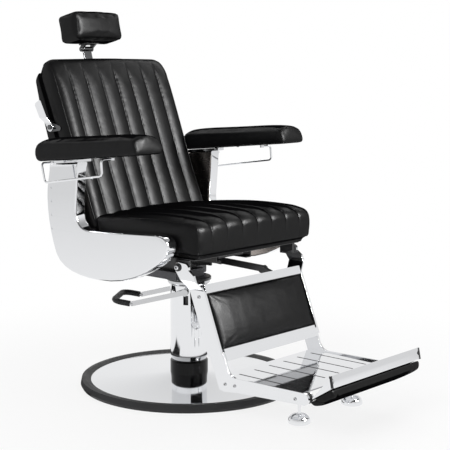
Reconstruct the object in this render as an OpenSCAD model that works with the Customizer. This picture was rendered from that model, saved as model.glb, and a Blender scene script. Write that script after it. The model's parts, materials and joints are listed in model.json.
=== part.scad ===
// Hydraulic barber chair. Millimetres. Z is up, the floor is z = 0, the chair faces -Y,
// and the axis of the hydraulic column is the Z axis. "r" pieces lie at -X (the sitter's
// right hand) and "l" pieces at +X.

/* [Base] */
// Radius of the bumper ring at its widest
base_r = 350; // [330:1:380]
// Height of the bumper ring's shoulder
ring_h = 26; // [22:1:34]
// Width of the bumper ring
ring_w = 33; // [28:1:45]
// Thickness of the domed cover
dome_t = 2.5; // [2:0.1:4]
// Rise of the dome from its rim to the column
dome_rise = 17; // [8:0.5:24]
// Thickness of the cast base plate
plate_t = 12; // [8:1:14]

/* [Hydraulic column] */
// Radius of the column cover and the pump head
column_r = 60; // [56:1:66]
// Wall of the column cover
cover_wall = 4; // [3:0.5:6]
// Height of the lower collar
collar_h = 42; // [30:1:50]
// Overhang of the lower collar round the column
collar_out = 1; // [0:0.5:4]
// Height of the column cover
cover_h = 217; // [200:1:240]
// Height of the tapered lip at the foot of the cover
cover_lip_h = 16; // [10:1:24]
// Width of a notch under a lever pivot
notch_w = 16; // [12:1:24]
// Depth of a notch under a lever pivot
notch_h = 30; // [20:1:40]
// Height of the pump head
head_h = 33; // [30:1:40]
// Gap between the pump cylinder and the column cover
cylinder_gap = 10; // [6:1:14]
// Radius of the ram
ram_r = 25; // [20:1:30]
// Radial running fit of the ram and of the spindle
ram_fit = 0.05; // [0.03:0.01:0.1]
// Height of the ram's lower end above the floor
ram_foot_z = 90; // [80:1:120]
// Radius of the ram flange
flange_r = 68; // [62:1:70]
// Thickness of the ram flange
flange_t = 11.7; // [9:0.1:14]
// Radius of the spindle that the seat turns on
spindle_r = 16; // [13:1:19]

/* [Pump lever] */
// Direction of the lever, counter-clockwise from +X
lever_dir = 124; // [110:1:140]
// Gap between the pump head and a bar
lever_gap = 13; // [10:0.5:18]
// Thickness of a bar
lever_t = 8; // [6:0.5:9]
// Height of a bar
lever_h = 15; // [12:0.5:20]
// Droop of the bars below level
lever_droop = 13.3; // [8:0.1:18]
// Length of a bar from its pivot to the sleeve
lever_bar = 178; // [150:1:190]
// Rise of the U end above level
lever_rise = 9; // [0:0.5:14]
// Length of the U end
lever_end = 69; // [60:1:80]
// Radius of the rod in the U end
lever_rod_r = 5.5; // [4:0.1:6.5]
// Radius of the rubber sleeve
grip_r = 9.5; // [8.5:0.1:12]
// Bend radius of the U end
grip_bend = 30; // [22:1:32]
// Radius of a lever pivot pin
lever_pin_r = 7; // [5:0.1:7]
// Height of the lever pivot above the foot of the pump head
lever_pin_up = 14; // [12:0.5:18]

/* [Under the seat] */
// Radius of the swivel disc
disc_r = 72; // [68:1:80]
// Thickness of the swivel disc
disc_t = 9.7; // [8:0.1:12]
// Height of the hub bracket
hub_h = 27; // [22:1:30]
// Bevel along the lower edges of the hub bracket
hub_edge = 6; // [2:0.5:10]
// Reach of the hub bracket towards the sitter's right
hub_right = 100; // [92:1:104]
// Reach of the hub bracket towards the sitter's left
hub_left = 84; // [80:1:88]
// Reach of the hub bracket to the front
hub_front = 40; // [34:1:50]
// Reach of the hub bracket to the rear
hub_rear = 100; // [90:1:110]
// Distance of the notch in the hub bracket's front from the middle plane
hub_notch = 30; // [24:1:40]
// Height of the riser plates
riser_h = 45; // [40:1:50]
// Thickness of a riser plate
riser_t = 8; // [6:0.5:10]
// Distance of the seat rails' middle from the middle plane
rail_x = 70; // [62:1:74]
// Width of a seat rail
rail_w = 24; // [20:1:26]
// Height of a seat rail
rail_h = 34; // [28:1:40]
// Wall of a seat rail
rail_wall = 4; // [3:0.5:6]
// Thickness of the seat pan
pan_t = 4; // [3:0.5:6]
// Thickness of the plywood seat board
board_t = 14; // [10:1:18]
// Thickness of the spindle nut
nut_t = 9; // [7:0.5:12]

/* [Seat cushion] */
// Half the width of the seat cushion
seat_half = 270; // [255:1:272]
// Height of the cushion's piping above the seat board, at the front
seat_thick = 100; // [85:1:110]
// Drop of the cushion's top towards the rear
seat_drop = 17; // [5:1:25]
// Distance of the cushion's front from the column axis
seat_front = 292; // [286:1:310]
// Crown of the cushion across its width
seat_crown = 11; // [4:0.5:16]
// Radius of the seat's front corners
seat_corner = 20; // [12:1:35]
// Number of sewn channels
channels = 8; // [6:1:10]
// Depth of a sewn channel
channel_depth = 7; // [3:0.5:10]

/* [Side bodies and arms] */
// Gap between the seat cushion and a side body
side_gap = 12; // [11:0.5:18]
// Thickness of a side body
side_t = 42; // [36:1:50]
// Distance of the rear post's front behind the column axis
post_y = 161; // [150:1:175]
// Depth of the rear post
post_d = 130; // [115:1:145]
// Edge radius of a side body
side_edge = 6; // [3:0.5:9]
// Slope of the arm pad: fall in height per unit of length
arm_slope = 0.093; // [0.06:0.001:0.14]
// Height of the arm board's rear end above the seat board
arm_up = 250; // [235:1:260]
// Overlap of the arm pad over the side body's inner face
arm_lap = 8; // [4:1:10]
// Reach of the arm pad to the rear
arm_rear = 273; // [268:1:285]
// Reach of the arm pad to the front
arm_front = 163; // [145:1:185]
// Width of an arm pad
arm_w = 110; // [96:1:118]
// Height of the arm pad's side at its middle, over the board
arm_side = 52; // [44:1:60]
// Fall of the side's height from there to the nose
arm_nose_fall = 8; // [4:0.5:12]
// Crown of the arm pad
arm_crown = 14; // [8:1:22]
// Rim of the pad round the arm board
arm_rim = 8; // [6:0.5:12]
// Thickness of the arm board
arm_board_t = 8; // [6:0.5:12]
// Height of the chrome mount between side body and arm board
arm_mount_h = 9; // [6:0.5:14]

/* [Towel rails] */
// Radius of the towel rail wire
wire_r = 3.5; // [2.5:0.1:4.5]
// Distance of the rail beyond the arm pad's outer side
wire_out = 2; // [0:0.5:12]
// Bend radius of the wire
wire_bend = 10; // [8:0.5:14]
// Depth of the rail below its front mount
wire_drop = 47; // [40:1:60]

/* [Recline and legrest linkage] */
// Back pivot behind the column axis
back_y = 160; // [155:1:165]
// Back pivot above the underside of the seat pan
back_up = 12; // [9:0.5:14]
// Legrest pivot in front of the column axis
leg_y = 201; // [196:1:206]
// Legrest pivot below the underside of the seat pan
leg_drop = 22; // [20:0.5:25]
// Crank pin in front of the back pivot
crank_y = 60; // [57:0.5:62]
// Crank pin below the back pivot
crank_z = 73; // [71:0.5:75]
// Lug pin in front of the legrest pivot
lug_y = 22; // [20:0.5:24]
// Lug pin below the legrest pivot
lug_z = 50; // [48:0.5:52]
// Distance of the link from the middle plane
link_x = 110; // [106:1:114]
// Thickness of the link
link_t = 10; // [8:0.5:12]
// Height of the link
link_h = 20; // [16:0.5:21]
// Radius of the link's pins
link_pin_r = 6; // [5:0.5:7]
// Radial clearance of the front pin in its hole
link_play = 1.4; // [1.2:0.1:1.8]
// Radius of the back and legrest pivot pins
pivot_r = 8; // [6:0.5:9]
// Radial running fit of a pin
pin_fit = 0.05; // [0.03:0.01:0.09]

/* [Back] */
// Lean of the back's front face from vertical
back_lean = 23; // [21:0.5:25]
// Inset of the back cushion's sides from those of the seat cushion
back_inset = 11; // [11:0.5:18]
// Height of the back's foot above its pivot
back_rise = 100; // [92:1:110]
// Thickness of the back cushion down to its board
back_thick = 62; // [52:1:70]
// Radius of the back's upper corners
back_corner = 30; // [15:1:45]
// Thickness of the back board
back_board_t = 12; // [9:1:16]
// Length of the back board above the seat
back_len = 495; // [470:1:520]
// Thickness of the rear shell at its top
shell_top = 24; // [16:1:30]
// Thickness left in the shell under the headrest bar's channel at the top
channel_floor = 6; // [4:1:10]
// Thickness of the rear shell low down
shell_low = 54; // [46:1:64]
// Thickness of the steel hinge plates
hinge_t = 8; // [6:0.5:9]
// Radius of the torsion tube
tube_r = 14; // [12:0.5:16]
// Thickness of the straps behind the board
strap_t = 6; // [4:0.5:8]

/* [Headrest] */
// Half the width of the headrest
head_half = 104; // [90:1:115]
// Height of the headrest
head_pad_h = 97; // [84:1:106]
// Depth of the headrest
head_pad_d = 100; // [88:1:108]
// Overhang of the headrest behind its pivot
head_back = 14; // [8:1:18]
// Height of the headrest above its pivot
head_stand = 16; // [14:0.5:22]
// Lean of the headrest
head_lean = 12; // [6:0.5:18]
// Width of the headrest bar
bar_w = 35; // [28:1:40]
// Thickness of the headrest bar
bar_t = 6; // [5:0.5:8]
// Lean of the headrest bar
bar_lean = 16; // [15:0.5:17]
// Length of the headrest bar
bar_len = 215; // [190:1:240]

/* [Recline lever] */
// Width of the lever's paddle
paddle_w = 32; // [26:1:38]
// Length of the lever
paddle_len = 92; // [80:1:105]
// Thickness of the lever
paddle_t = 4; // [3:0.5:6]

/* [Legrest] */
// Tilt of the legrest from vertical when it hangs
leg_tilt = 21.2; // [19:0.1:23]
// Inset of the hinge ears' outer faces from the seat cushion's sides
ear_inset = 14; // [12:0.5:17]
// Step inwards from the hinge ears to the side bars
joggle = 26; // [22:0.5:30]
// Thickness of a side bar and of a foot rail
flat_t = 8; // [6:0.5:9]
// Width of a side bar
side_bar_w = 54; // [50:1:58]
// Height of the seam between side bar and foot rail above the footplate
seam_up = 53; // [48:1:60]
// Length of the cushioned panel
panel_len = 169; // [150:1:180]
// Crown of the legrest pad
leg_crown = 16; // [8:1:22]
// Thickness of the legrest pad at its edge
leg_pad_t = 9; // [6:0.5:12]
// Thickness of the panel board
panel_t = 12; // [9:1:15]

/* [Footplate] */
// Footplate's upper face below the legrest pivot
foot_drop = 309; // [295:1:320]
// Thickness of the footplate
foot_t = 4; // [3:0.5:6]
// Length of a foot rail from the side bar to the flap hinge
rail_len = 269; // [255:1:285]
// Flap hinge below the footplate's upper face
toe_drop = 10.5; // [9:0.5:12]
// Radius of a foot rail's round end
toe_r = 17.5; // [16:0.5:19]
// Width of a slot
slot_w = 6; // [4:0.5:10]
// Length of a slot
slot_len = 212; // [180:1:230]
// Distance between slots
slot_pitch = 68; // [60:1:72]

/* [Flap] */
// Width of the bush between a foot rail and the flap
bush_w = 14; // [11:0.5:18]
// Rise of the flap's tray from level
flap_rise = 32.5; // [28:0.5:38]
// Length of the tray from its heel to its lip
flap_len = 110; // [100:1:125]
// Length of the lip
lip_len = 32; // [24:1:40]
// Sheet thickness of the tray
tray_t = 3; // [2:0.5:4]
// Thickness of the flap pad
flap_pad_t = 24; // [16:1:28]

/* [Levelling feet] */
// Radius of a foot's pad
pad_r = 33; // [26:1:38]
// Height of a foot's pad
pad_h = 28; // [22:1:36]
// Gap that the screwed-up feet leave above the floor
pad_lift = 10; // [4:1:14]
// Radius of a foot's stud
stud_r = 5; // [4:0.5:7]
// Distance of a foot inside the foot rails
foot_inset = 87; // [70:1:110]
// Distance of a foot behind the flap hinge
foot_set = 88; // [76:1:110]
// Length of the socket that holds a stud
socket_len = 28; // [24:1:32]

/* [Hidden] */
$fn = 96;

chrome = "gainsboro";
black_steel = [0.12, 0.12, 0.13];
leather = [0.07, 0.07, 0.075];
rubber = [0.1, 0.1, 0.1];
seat_gap = 0.3;
// Length over which a cushion's rounded corner takes hold
corner_run = 60;
cut = 1;

// Heights up the column, from the floor to the seat board
dome_seat = ring_h - 7.5;
hub_top = dome_seat + dome_t + dome_rise;
cover_z = hub_top + collar_h;
head_z = cover_z + cover_h;
flange_z = head_z + head_h + seat_gap;
disc_z = flange_z + flange_t + seat_gap;
bracket_z = disc_z + disc_t;
riser_z = bracket_z + hub_h;
rail_z = riser_z + riser_h;
pan_z = rail_z + rail_h;
board_z = pan_z + pan_t;
board_top = board_z + board_t;
cylinder_r = column_r - cover_wall - cylinder_gap;
lever_z = head_z + lever_pin_up;
lever_half = column_r + lever_gap + lever_t / 2;

// Widths, from the middle plane outwards
side_in = seat_half + side_gap;
side_out = side_in + side_t;
arm_in = side_in - arm_lap;
arm_x = arm_in + arm_w / 2;
arm_out = arm_in + arm_w;
wire_x = arm_out + wire_out;
back_half = seat_half - back_inset;
ear_x = seat_half - ear_inset;
bar_x = ear_x - joggle;
rail_out = bar_x - flat_t;
rail_in = rail_out - flat_t;
flap_half = rail_in - bush_w - seat_gap;
flap_wide = rail_out - 4;
foot_x = rail_in - foot_inset;

// Pivots as (y, z), and the turn of a vector about one of them
back_pivot = [back_y, pan_z + back_up];
leg_pivot = [-leg_y, pan_z - leg_drop];
crank_pin = back_pivot - [crank_y, crank_z];
lug_pin = leg_pivot - [lug_y, lug_z];
link_half = link_h / 2;
eye_r = link_pin_r + 5.5;

// Points in the leaning frames of the back and of the legrest
back_foot = back_pivot + [8, back_rise];
function on_back(b, n) = back_foot
    + [b * sin(back_lean) + n * cos(back_lean), b * cos(back_lean) - n * sin(back_lean)];
function back_face_y(z) = back_foot[0] + (z - back_foot[1]) * tan(back_lean);
function on_leg(u, v) = leg_pivot
    + [-u * sin(leg_tilt) - v * cos(leg_tilt), -u * cos(leg_tilt) + v * sin(leg_tilt)];
function leg_u(z, v) = (leg_pivot[1] - z + v * sin(leg_tilt)) / cos(leg_tilt);

// Smooth closed outlines: a cubic curve without its last point, and a straight run of n steps
function curve(a, b, c, d, n) = [for (i = [0 : n - 1]) let (t = i / n, s = 1 - t)
    a * s * s * s + b * 3 * s * s * t + c * 3 * s * t * t + d * t * t * t];
function run(a, b, n) = [for (i = [0 : n - 1]) a + (b - a) * i / n];
function unit(v) = v / norm(v);
function clamp(t) = max(0, min(1, t));

// Outward normals of a closed outline that runs counter-clockwise
function normals(p) = let (n = len(p)) [for (i = [0 : n - 1])
    let (d = unit(p[(i + 1) % n] - p[(i + n - 1) % n])) [d[1], -d[0]]];

// Inset that rounds the two ends of a body of half width hw with radius r
function edge_in(x, hw, r) = let (e = max(0, abs(x) - hw + r)) r - sqrt(max(0, r * r - e * e));
// Depth of a row of n half-round channels across 2 * hw
function channel(x, hw, n, depth) = let (c = (x / hw + 1) * n / 2, t = 2 * (c - floor(c)) - 1)
    depth * (1 - sqrt(max(0, 1 - t * t)));
function crown(x, hw, h) = h * (1 - (x / hw) * (x / hw));

// Places across a rounded body, and across a channelled one
function round_stations(hw, r, mid) = concat(
    [for (t = [90, 65, 35]) -hw + r - r * sin(t)],
    [for (i = [0 : mid]) -(hw - r) + 2 * (hw - r) * i / mid],
    [for (t = [35, 65, 90]) hw - r + r * sin(t)]);
function channel_stations(hw, n) = concat(
    [for (i = [0 : n - 1], s = [0.001, 0.14, 0.5, 0.86]) -hw + 2 * hw * (i + s) / n],
    [hw * 0.9999]);

// A closed body swept across x: one loop of (y, z) points at each station
module loft_x(stations, loop) {
    rings = [for (x = stations) loop(x)];
    m = len(rings[0]);
    n = len(stations);
    points = [for (i = [0 : n - 1]) for (p = rings[i]) [stations[i], p[0], p[1]]];
    sides = [for (i = [0 : n - 2]) for (j = [0 : m - 1])
        let (a = i * m + j, b = i * m + (j + 1) % m, c = a + m, d = b + m)
        each [[a, c, d], [a, d, b]]];
    // Each end is laced between the loop's two halves, so that a band-like loop closes too
    first = [for (i = [0 : floor((m - 1) / 2) - 1]) let (j = m - 2 - i)
        each concat(i + 1 < j ? [[i, i + 1, j]] : [], [[i, j, j + 1]])];
    shift = (n - 1) * m;
    last = [for (f = first) [f[0] + shift, f[2] + shift, f[1] + shift]];
    polyhedron(points = points, faces = concat(first, sides, last));
}

// A profile drawn in (y, z), given the thickness w along +X from x0
module across(x0, w) {
    translate([x0, 0, 0]) rotate([90, 0, 90]) linear_extrude(height = w) children();
}

// A round bar along X between two places
module bar_x_dir(x0, x1, p, r) {
    translate([x0, p[0], p[1]]) rotate([0, 90, 0]) cylinder(r = r, h = x1 - x0);
}

// Outline of a flat bar with round ends that follows a few centres
function arc(c, r, a0, a1, n = 12) = [for (i = [0 : n]) let (a = a0 + (a1 - a0) * i / n)
    c + r * [cos(a), sin(a)]];
function heading(p, q) = atan2(q[1] - p[1], q[0] - p[0]);
function corner(p, q, s, r) = let (
    m = unit(unit(q - p) + unit(s - q)), n = [m[1], -m[0]], first = unit(q - p))
    q + n * r / (n * [first[1], -first[0]]);
function strap(c, r) = let (k = len(c) - 1, a0 = heading(c[0], c[1]), a1 = heading(c[k - 1], c[k]))
    concat(arc(c[0], r[0], a0 + 90, a0 + 270),
        [for (i = [1 : 1 : k - 1]) corner(c[i - 1], c[i], c[i + 1], r[i])],
        arc(c[k], r[k], a1 - 90, a1 + 90),
        [for (i = [k - 1 : -1 : 1]) corner(c[i - 1], c[i], c[i + 1], -r[i])]);

// The middle line of a bent wire: each corner of the route becomes an arc of n steps
function bend_at(a, p, b, radius, n) = let (
    u = unit(p - a), v = unit(b - p), turn = acos(u * v), w = unit(v - u * cos(turn)),
    start = p - u * radius * tan(turn / 2))
    [for (i = [0 : n]) let (t = turn * i / n) start + u * radius * sin(t) + w * radius * (1 - cos(t))];
function bent(route, radius, n) = [route[0],
    for (i = [1 : len(route) - 2]) each bend_at(route[i - 1], route[i], route[i + 1], radius, n),
    route[len(route) - 1]];

// Ring of points round a route, square to it, with one side turned towards ref
function ring_round(line, i, r, sides, ref) = let (
    last = len(line) - 1,
    u = unit(line[min(i + 1, last)] - line[max(i - 1, 0)]),
    x = unit(cross(ref, u)), y = cross(u, x))
    [for (k = [0 : sides - 1]) line[i] + r * (x * cos(360 * k / sides) + y * sin(360 * k / sides))];

// A round wire along a bent route, hollow where inner is more than 0; ref is never parallel to it
module wire(route, r, bend, ref, inner = 0, sides = 12, steps = 6) {
    line = bent(route, bend, steps);
    n = len(line);
    walls = inner > 0 ? [r, inner] : [r];
    points = [for (w = walls) for (i = [0 : n - 1]) each ring_round(line, i, w, sides, ref)];
    shift = n * sides;
    outer = [for (i = [0 : n - 2]) for (k = [0 : sides - 1])
        let (a = i * sides + k, b = i * sides + (k + 1) % sides, c = a + sides, d = b + sides)
        each [[a, c, d], [a, d, b]]];
    bore = inner > 0 ? [for (f = outer) [f[0] + shift, f[2] + shift, f[1] + shift]] : [];
    e = (n - 1) * sides;
    ends = inner > 0
        ? [for (k = [0 : sides - 1]) let (m = (k + 1) % sides)
            each [[k, m, m + shift], [k, m + shift, k + shift],
                [e + m, e + k, e + k + shift], [e + m, e + k + shift, e + m + shift]]]
        : [[for (k = [0 : sides - 1]) k], [for (k = [sides - 1 : -1 : 0]) e + k]];
    polyhedron(points = points, faces = concat(outer, bore, ends));
}

// Both sides of the chair
module both() {
    children();
    mirror([1, 0, 0]) children();
}

// ---------------------------------------------------------------- base
// Cast plate with the hub that the column stands on
module base_plate() {
    hub_r = column_r - seat_gap;
    color(black_steel) rotate_extrude()
        polygon([[0, 0], [base_r - ring_w - 5.3, 0], [base_r - ring_w - 5.3, plate_t],
            [hub_r + 40, plate_t], [hub_r, hub_top - 6], [hub_r, hub_top],
            [cylinder_r + seat_gap, hub_top], [cylinder_r + seat_gap, plate_t], [0, plate_t]]);
}

// Rubber bumper ring with a ledge for the dome
module base_ring() {
    inner = base_r - ring_w;
    color(rubber) rotate_extrude($fn = 128)
        polygon([[inner - 5, 0], [base_r - 5, 0], [base_r, ring_h * 0.35], [base_r - 3.5, ring_h],
            [base_r - 16, ring_h + 1], [inner + 0.3, ring_h - 4], [inner + 0.3, dome_seat],
            [inner - 5, dome_seat]]);
}

// Spun chrome cover, nearly flat at its rim and rising to the column
module base_dome() {
    rim = base_r - ring_w;
    eye = column_r + 0.5;
    run_in = rim - 7 - eye;
    top = [for (i = [0 : 16]) let (t = i / 16) [rim - 7 - run_in * t,
        dome_seat + dome_t + dome_rise * (0.62 * t + 0.38 * t * t)]];
    under = [for (i = [16 : -1 : 0]) top[i] - [0, dome_t]];
    color(chrome) rotate_extrude($fn = 128)
        polygon(concat([[rim, dome_seat], [rim, dome_seat + dome_t]], top, under));
}

// ---------------------------------------------------------------- column
module ring_at(z, h, outer, inner) {
    translate([0, 0, z]) rotate_extrude() translate([inner, 0]) square([outer - inner, h]);
}

module pump_collar() {
    color(chrome) difference() {
        ring_at(hub_top, collar_h, column_r + collar_out, cylinder_r + seat_gap);
        translate([0, 0, hub_top + collar_h - 3]) rotate_extrude()
            polygon([[column_r + collar_out - 3, 3], [column_r + 9, 3], [column_r + 9, -9]]);
    }
}

module column_cover() {
    lip = 5;
    foot = [[cylinder_r + 1, 0], [column_r - lip, 0], [column_r, cover_lip_h],
        [column_r, cover_h], [column_r - cover_wall, cover_h],
        [column_r - cover_wall, cover_lip_h], [column_r - cover_wall - lip, 4],
        [cylinder_r + 1, 4]];
    color(chrome) difference() {
        translate([0, 0, cover_z]) rotate_extrude() polygon(foot);
        for (side = [-1, 1]) rotate(lever_dir) translate([0, side * column_r, head_z - notch_h])
            translate([-notch_w / 2, -12, 0]) cube([notch_w, 24, notch_h + cut]);
    }
}

module pump_cylinder() {
    color(black_steel) difference() {
        translate([0, 0, plate_t]) cylinder(r = cylinder_r, h = head_z - plate_t);
        translate([0, 0, ram_foot_z - 8]) cylinder(r = ram_r + ram_fit, h = head_z);
    }
}

module pump_head() {
    window = [40, 12, 15];
    color(chrome) difference() {
        translate([0, 0, head_z]) rotate_extrude()
            polygon([[ram_r + ram_fit, 0], [column_r, 0], [column_r, head_h - 3],
                [column_r - 3, head_h], [ram_r + ram_fit, head_h]]);
        rotate(lever_dir) for (side = [-1, 1]) translate([0, side * column_r, lever_z])
            rotate([90, 0, 0]) cylinder(r = lever_pin_r, h = 20, center = true);
        rotate(lever_dir) translate([column_r - 8, -window[0] / 2, head_z + head_h - window[2] - 6])
            cube([window[1], window[0], window[2]]);
    }
}

// Stub pins on which the lever turns, with a shoulder inside and a head outside the bar
module lever_pins() {
    color(chrome) rotate(lever_dir) for (side = [0, 180]) rotate(side)
        translate([0, column_r - 10, lever_z]) rotate([-90, 0, 0]) {
            cylinder(r = lever_pin_r, h = 10 + lever_gap + lever_t + 1);
            translate([0, 0, 10]) cylinder(r = lever_pin_r + 3, h = lever_gap - seat_gap);
            translate([0, 0, 10 + lever_gap + lever_t + seat_gap]) cylinder(r = lever_pin_r + 4, h = 4);
        }
}

// ---------------------------------------------------------------- pump lever
// The lever's own frame: x along the bars, y along the pivot, origin at the pivot
module lever_frame() {
    translate([0, 0, lever_z]) rotate(lever_dir) children();
}

lever_normal = [-sin(lever_rise), 0, cos(lever_rise)];
function lever_path(back = 0) = let (
    s = lever_bar * cos(lever_droop), z = -lever_bar * sin(lever_droop),
    along = [cos(lever_rise), 0, sin(lever_rise)], start = [s, 0, z] - along * back,
    end = [s, 0, z] + along * (lever_end - grip_r), out = [0, lever_half, 0])
    [start + out, end + out, end - out, start - out];

module pump_lever() {
    color(chrome) lever_frame() {
        for (side = [-1, 1]) difference() {
            translate([0, side * lever_half - lever_t / 2, 0]) rotate([0, lever_droop, 0]) {
                rotate([-90, 0, 0]) cylinder(r = lever_h / 2 + 4, h = lever_t);
                translate([0, 0, -lever_h / 2]) cube([lever_bar, lever_t, lever_h]);
            }
            translate([0, side * lever_half, 0]) rotate([90, 0, 0])
                cylinder(r = lever_pin_r + pin_fit, h = lever_t + 2, center = true);
        }
        wire(lever_path(6), lever_rod_r, grip_bend, lever_normal);
    }
}

// Rubber sleeve that starts just beyond the flat bars
grip_lead = 4;
module lever_grip() {
    color(rubber) lever_frame()
        wire(lever_path(-grip_lead), grip_r, grip_bend, lever_normal, lever_rod_r + 0.1);
}

// ---------------------------------------------------------------- ram
module ram() {
    top = riser_z + nut_t;
    color(chrome) {
        translate([0, 0, ram_foot_z]) cylinder(r = ram_r, h = disc_z - seat_gap - ram_foot_z);
        cylinder_up(spindle_r, disc_z - seat_gap, top);
    }
}

module cylinder_up(r, z0, z1) {
    translate([0, 0, z0]) cylinder(r = r, h = z1 - z0);
}

module ram_flange() {
    bevel = 3;
    color(chrome) translate([0, 0, flange_z]) rotate_extrude()
        polygon([[ram_r, 0], [flange_r - bevel, 0], [flange_r, bevel], [flange_r, flange_t - 1],
            [flange_r - 1, flange_t], [ram_r, flange_t]]);
}

module spindle_nut() {
    color(black_steel) difference() {
        translate([0, 0, riser_z + seat_gap]) cylinder(r = spindle_r + 8, h = nut_t - seat_gap, $fn = 6);
        cylinder_up(spindle_r, riser_z, riser_z + nut_t + cut);
    }
}

// ---------------------------------------------------------------- under the seat
module swivel_disc() {
    color(black_steel) difference() {
        cylinder_up(disc_r, disc_z, bracket_z);
        cylinder_up(spindle_r + ram_fit, disc_z - cut, bracket_z + cut);
        translate([0, 0, bracket_z]) rotate_extrude()
            polygon([[disc_r - 2, 0.01], [disc_r + 1, 0.01], [disc_r + 1, -3]]);
    }
}

// Welded box beam between the disc and the risers, bored for the spindle
module hub_bracket() {
    color("dimgray") difference() {
        translate([-hub_right, -hub_front, bracket_z])
            cube([hub_right + hub_left, hub_front + hub_rear, hub_h]);
        cylinder_up(spindle_r + ram_fit, bracket_z - cut, riser_z + cut);
        translate([hub_notch, -hub_front - cut, bracket_z - cut])
            cube([hub_left - hub_notch + cut, hub_front + cut, hub_h + 2 * cut]);
        for (x = [-hub_right, hub_left]) translate([x, 0, bracket_z]) rotate([0, 45, 0])
            cube([hub_edge, 400, hub_edge], center = true);
    }
}

module riser_plates() {
    color(black_steel) both() translate([rail_x - riser_t / 2, -hub_front + 6, riser_z])
        cube([riser_t, hub_front + hub_rear - 12, riser_h]);
}

// One rail of channel section, open towards the middle
module seat_rail() {
    color(black_steel) difference() {
        translate([rail_x - rail_w / 2, -leg_y + 8, rail_z]) cube([rail_w, leg_y + 110, rail_h]);
        translate([rail_x - rail_w / 2 - cut, -leg_y + 7, rail_z + rail_wall])
            cube([rail_w - rail_wall + cut, leg_y + 112, rail_h - 2 * rail_wall]);
    }
}

module seat_rail_l() { seat_rail(); }
module seat_rail_r() { mirror([1, 0, 0]) seat_rail(); }

// Two cross members between the rails
module seat_cross() {
    inner = rail_x - rail_w / 2;
    color(black_steel) for (y = [-leg_y + 20, 80]) translate([-inner, y, pan_z - rail_h * 0.7])
        cube([2 * inner, 24, rail_h * 0.7]);
}

// Clearance for the crank in the pan and the board
module crank_slot(z, h) {
    translate([link_x - 20, -14, z - cut]) cube([32, 200, h + 2 * cut]);
}

pan_rear = back_y - 28;
ear_slot = ear_x - flat_t - 4;
module seat_pan() {
    half = ear_x + 6;
    color(black_steel) {
        difference() {
            translate([-half, -leg_y - 54, pan_z]) cube([2 * half, leg_y + 54 + pan_rear, pan_t]);
            crank_slot(pan_z, pan_t);
            both() translate([ear_slot, -leg_y - 60, pan_z - cut]) cube([40, 100, pan_t + 2 * cut]);
        }
        both() for (y = [-90, 50]) {
            translate([half - 1, y, pan_z]) cube([side_in - half + 1, 50, pan_t]);
            translate([side_in - pan_t, y, pan_z - 30]) cube([pan_t, 50, 31]);
        }
    }
}

module seat_board() {
    half = ear_x + 10;
    color("burlywood") difference() {
        translate([-half, -leg_y - 69, board_z]) cube([2 * half, leg_y + 69 + pan_rear, board_t]);
        crank_slot(board_z, board_t);
        both() translate([ear_slot, -leg_y - 70, board_z - cut]) cube([40, 110, board_t + 2 * cut]);
    }
}

// Bullnosed cushion with half-round channels running front to back
seat_top = board_top + seat_thick;
function seat_profile() = let (
    rear_top = seat_top - seat_drop,
    r0 = [back_face_y(board_top) - 4, board_top],
    r1 = [back_face_y(rear_top - 12) - 8, rear_top - 12],
    t0 = [r1[0] - 14, rear_top],
    t1 = [-100, seat_top],
    f0 = [-seat_front + 44, seat_top - 2],
    f1 = [-seat_front + 1, seat_top - 38],
    f2 = [-seat_front + 8, board_top])
    concat(run(f2, r0 - [2, 0], 4), run(r0, r1, 3), curve(r1, r1 + [3, 7], t0 + [8, 0], t0, 3),
        curve(t0, t0 - [60, -5], t1 + [60, 0], t1, 5), curve(t1, t1 - [50, -1], f0 + [30, 1], f0, 4),
        curve(f0, f0 - [26, 2], f1 + [-1, 24], f1, 6), curve(f1, f1 - [1, 20], f2 + [-8, 20], f2, 4));

function seat_loop(x) = let (p = seat_profile(), n = normals(p)) [for (i = [0 : len(p) - 1])
    let (w = clamp((p[i][1] - (seat_top - 42)) / 26) * (p[i][1] > board_top + 20 ? 1 : 0))
    p[i] + n[i] * (w * (crown(x, seat_half, seat_crown) - channel(x, seat_half, channels, channel_depth))
        - edge_in(x, seat_half, 9))
        + [edge_in(x, seat_half, seat_corner) * clamp((-p[i][0] - seat_front) / corner_run + 1), 0]];

module seat_cushion() {
    color(leather) loft_x(channel_stations(seat_half, channels), function (x) seat_loop(x));
}

// ---------------------------------------------------------------- side bodies
// Underside of the arm board at the depth y
function arm_under(y) = board_top + arm_up + (arm_rear - y) * arm_slope;

function side_outline() = let (
    b = board_top,
    p0 = [post_y, arm_under(post_y) - arm_mount_h],
    p1 = [post_y + 12, b + 103], p2 = [post_y - 47, b + 44], p3 = [-166, b + 58], p4 = [-224, b + 28],
    p5 = [-137, b - 55], p6 = [74, b - 104], p7 = [post_y + post_d - 22, b - 43],
    p8 = [post_y + post_d + 17, b + 134],
    p9 = [post_y + post_d, arm_under(post_y + post_d) - arm_mount_h])
    concat(curve(p0, p0 - [0, 34], p1 + [-4, 46], p1, 6), curve(p1, p1 + [4, -38], p2 + [38, 0], p2, 8),
        curve(p2, p2 - [60, 0], p3 + [80, -4], p3, 9), curve(p3, p3 + [-36, 2], p4 + [0, 24], p4, 6),
        curve(p4, p4 - [0, 34], p5 + [-50, 27], p5, 5), curve(p5, p5 + [66, -36], p6 - [74, 0], p6, 4),
        curve(p6, p6 + [86, 0], p7 - [24, 48], p7, 6), curve(p7, p7 + [26, 57], p8 - [0, 60], p8, 5),
        curve(p8, p8 + [0, 40], p9 + [6, -36], p9, 5), [p9]);

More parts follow.
